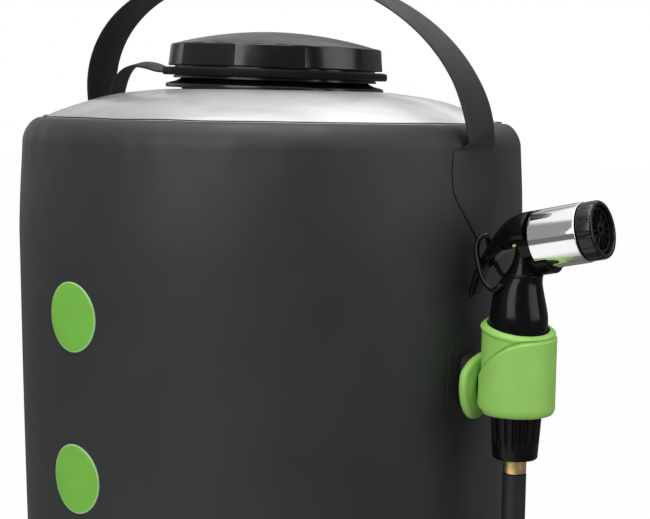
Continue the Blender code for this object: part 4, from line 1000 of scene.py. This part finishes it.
def make_world():
    """An even soft light, with a room of bright and dark fields for the reflections."""
    world = bpy.data.worlds.new("studio")
    scene.world = world
    world.use_nodes = True
    tree = world.node_tree
    tree.nodes.clear()
    rays = node(tree, "LightPath", {}).outputs
    direction = node(tree, "TexCoord", {}).outputs["Generated"]
    height = spread(tree, measured(tree, direction, (0.0, 0.0, 1.0)), 0.0, 1.0, -1.0, 1.0)

    def side(bearing, low, high):
        """The share of a side of the room, by how far a ray reaches to that side."""
        way = polar(1.0, radians(bearing), 0.0)
        return spread(tree, measured(tree, direction, way), 0.0, 1.0, low, high)

    def greys(*stops):
        """Greys from straight down at 0 to straight up at 1."""
        return ramp(tree, height, [(position, (grey,) * 3) for position, grey in stops])

    white = (1.0, 1.0, 1.0, 1.0)
    front = -50.2
    ahead = greys((0.0, 0.6), (0.47, 0.4), (0.5, 0.1), (0.76, 0.1), (0.84, 1.0), (1.0, 1.0))
    beside = greys((0.0, 0.8), (0.46, 0.6), (0.48, 0.3), (0.835, 0.3), (0.87, 1.0), (1.0, 1.0))
    behind = greys((0.0, 0.5), (0.5, 0.5), (0.62, 0.75), (0.66, 0.75), (0.7, 0.35),
                   (0.83, 0.35), (0.88, 1.0), (1.0, 1.0))
    dim = greys((0.0, 0.3), (0.5, 0.15), (0.66, 0.15), (0.72, 1.0), (1.0, 1.0))
    far_half = mixed(tree, side(front + 125.0, 0.35, 0.7), behind, dim)
    near_half = mixed(tree, side(front - 90.0, 0.62, 0.8), ahead, beside)
    room = mixed(tree, side(front, -0.45, -0.05), far_half, near_half)
    seen = mixed(tree, rays["Is Glossy Ray"], white, room)
    bright = node(tree, "Background", {"Color": seen, "Strength": 1.0})
    soft = node(tree, "Background", {"Color": white, "Strength": 0.28})
    shown = either(tree, rays["Is Camera Ray"],
                   either(tree, rays["Is Glossy Ray"], rays["Is Transmission Ray"]))
    mix_shader(tree, shown, soft, bright, node(tree, "OutputWorld", {}).inputs["Surface"])


def make_lamps():
    for name, place, width, height, power in (
        ("key", polar(1.25, radians(-85.0), 0.78), 0.8, 0.9, 9.6),
        ("fill", polar(1.3, radians(8.0), 0.7), 0.9, 0.9, 6.5),
        ("over", Vector((0.05, -0.1, 1.45)), 1.1, 1.1, 11.5),
    ):
        data = bpy.data.lights.new(name, "AREA")
        data.shape = "RECTANGLE"
        data.size = width
        data.size_y = height
        data.energy = power
        lamp = placed(name, data)
        lamp.location = place
        aim = Vector((0.02, 0.0, 0.24)) - place
        lamp.rotation_euler = aim.to_track_quat("-Z", "Y").to_euler()


def make_floor():
    """A grey floor that looks white to the camera and keeps the shadow."""
    bm = bmesh.new()
    bmesh.ops.create_circle(bm, cap_ends=True, segments=96, radius=9.0)
    data = as_mesh(bm, "floor")
    floor = placed("floor", data)
    floor.location = (0.0, 0.0, -gap)
    paint = bpy.data.materials.new("floor")
    paint.use_nodes = True
    tree = paint.node_tree
    shader = tree.nodes["Principled BSDF"]
    shader.inputs["Roughness"].default_value = 0.7
    rays = node(tree, "LightPath", {}).outputs
    tree.links.new(spread(tree, rays["Is Camera Ray"], 0.24, 0.97, 0.0, 1.0),
                   shader.inputs["Base Color"])
    # Reflections see it bright in front of the bag and dim further out
    place = node(tree, "TexCoord", {}).outputs["Object"]
    distance = node(tree, "VectorMath", {0: place, 1: (0.02, -0.45, 0.0)}, operation="DISTANCE")
    level = spread(tree, distance.outputs["Value"], 1.0, 0.16, 0.3, 0.5)
    glow = node(tree, "Emission", {"Strength": either(tree, level, rays["Is Camera Ray"])})
    share = spread(tree, rays["Is Camera Ray"], 0.0, 0.985, 0.0, 1.0)
    mix_shader(tree, either(tree, share, rays["Is Glossy Ray"]), shader, glow,
               tree.nodes["Material Output"].inputs["Surface"])
    data.materials.append(paint)


def dress():
    """Better materials for the solids that stay."""
    for surface, names in (
        ("black", ("base_panel", "outlet_spigot")), ("brass", ("valve_stem", "valve_retainer")),
        ("rubber", ("valve_seal", "stem_seal", "nut_washer")),
        ("steel", ("trigger_pin", "hose_clamp")), ("tie", ("coil_tie",)),
    ):
        for name in names:
            materials = nodes[name].data.materials
            materials.clear()
            materials.append(skins[surface])


def main():
    scene.view_settings.view_transform = "Standard"
    make_camera()
    for make in (make_hose, make_bag, make_discs, make_neck_and_cap, make_straps, make_holder,
                 make_grip, make_lever, make_lock_ring, make_hose_end, dress, make_world,
                 make_lamps, make_floor):
        make()


main()
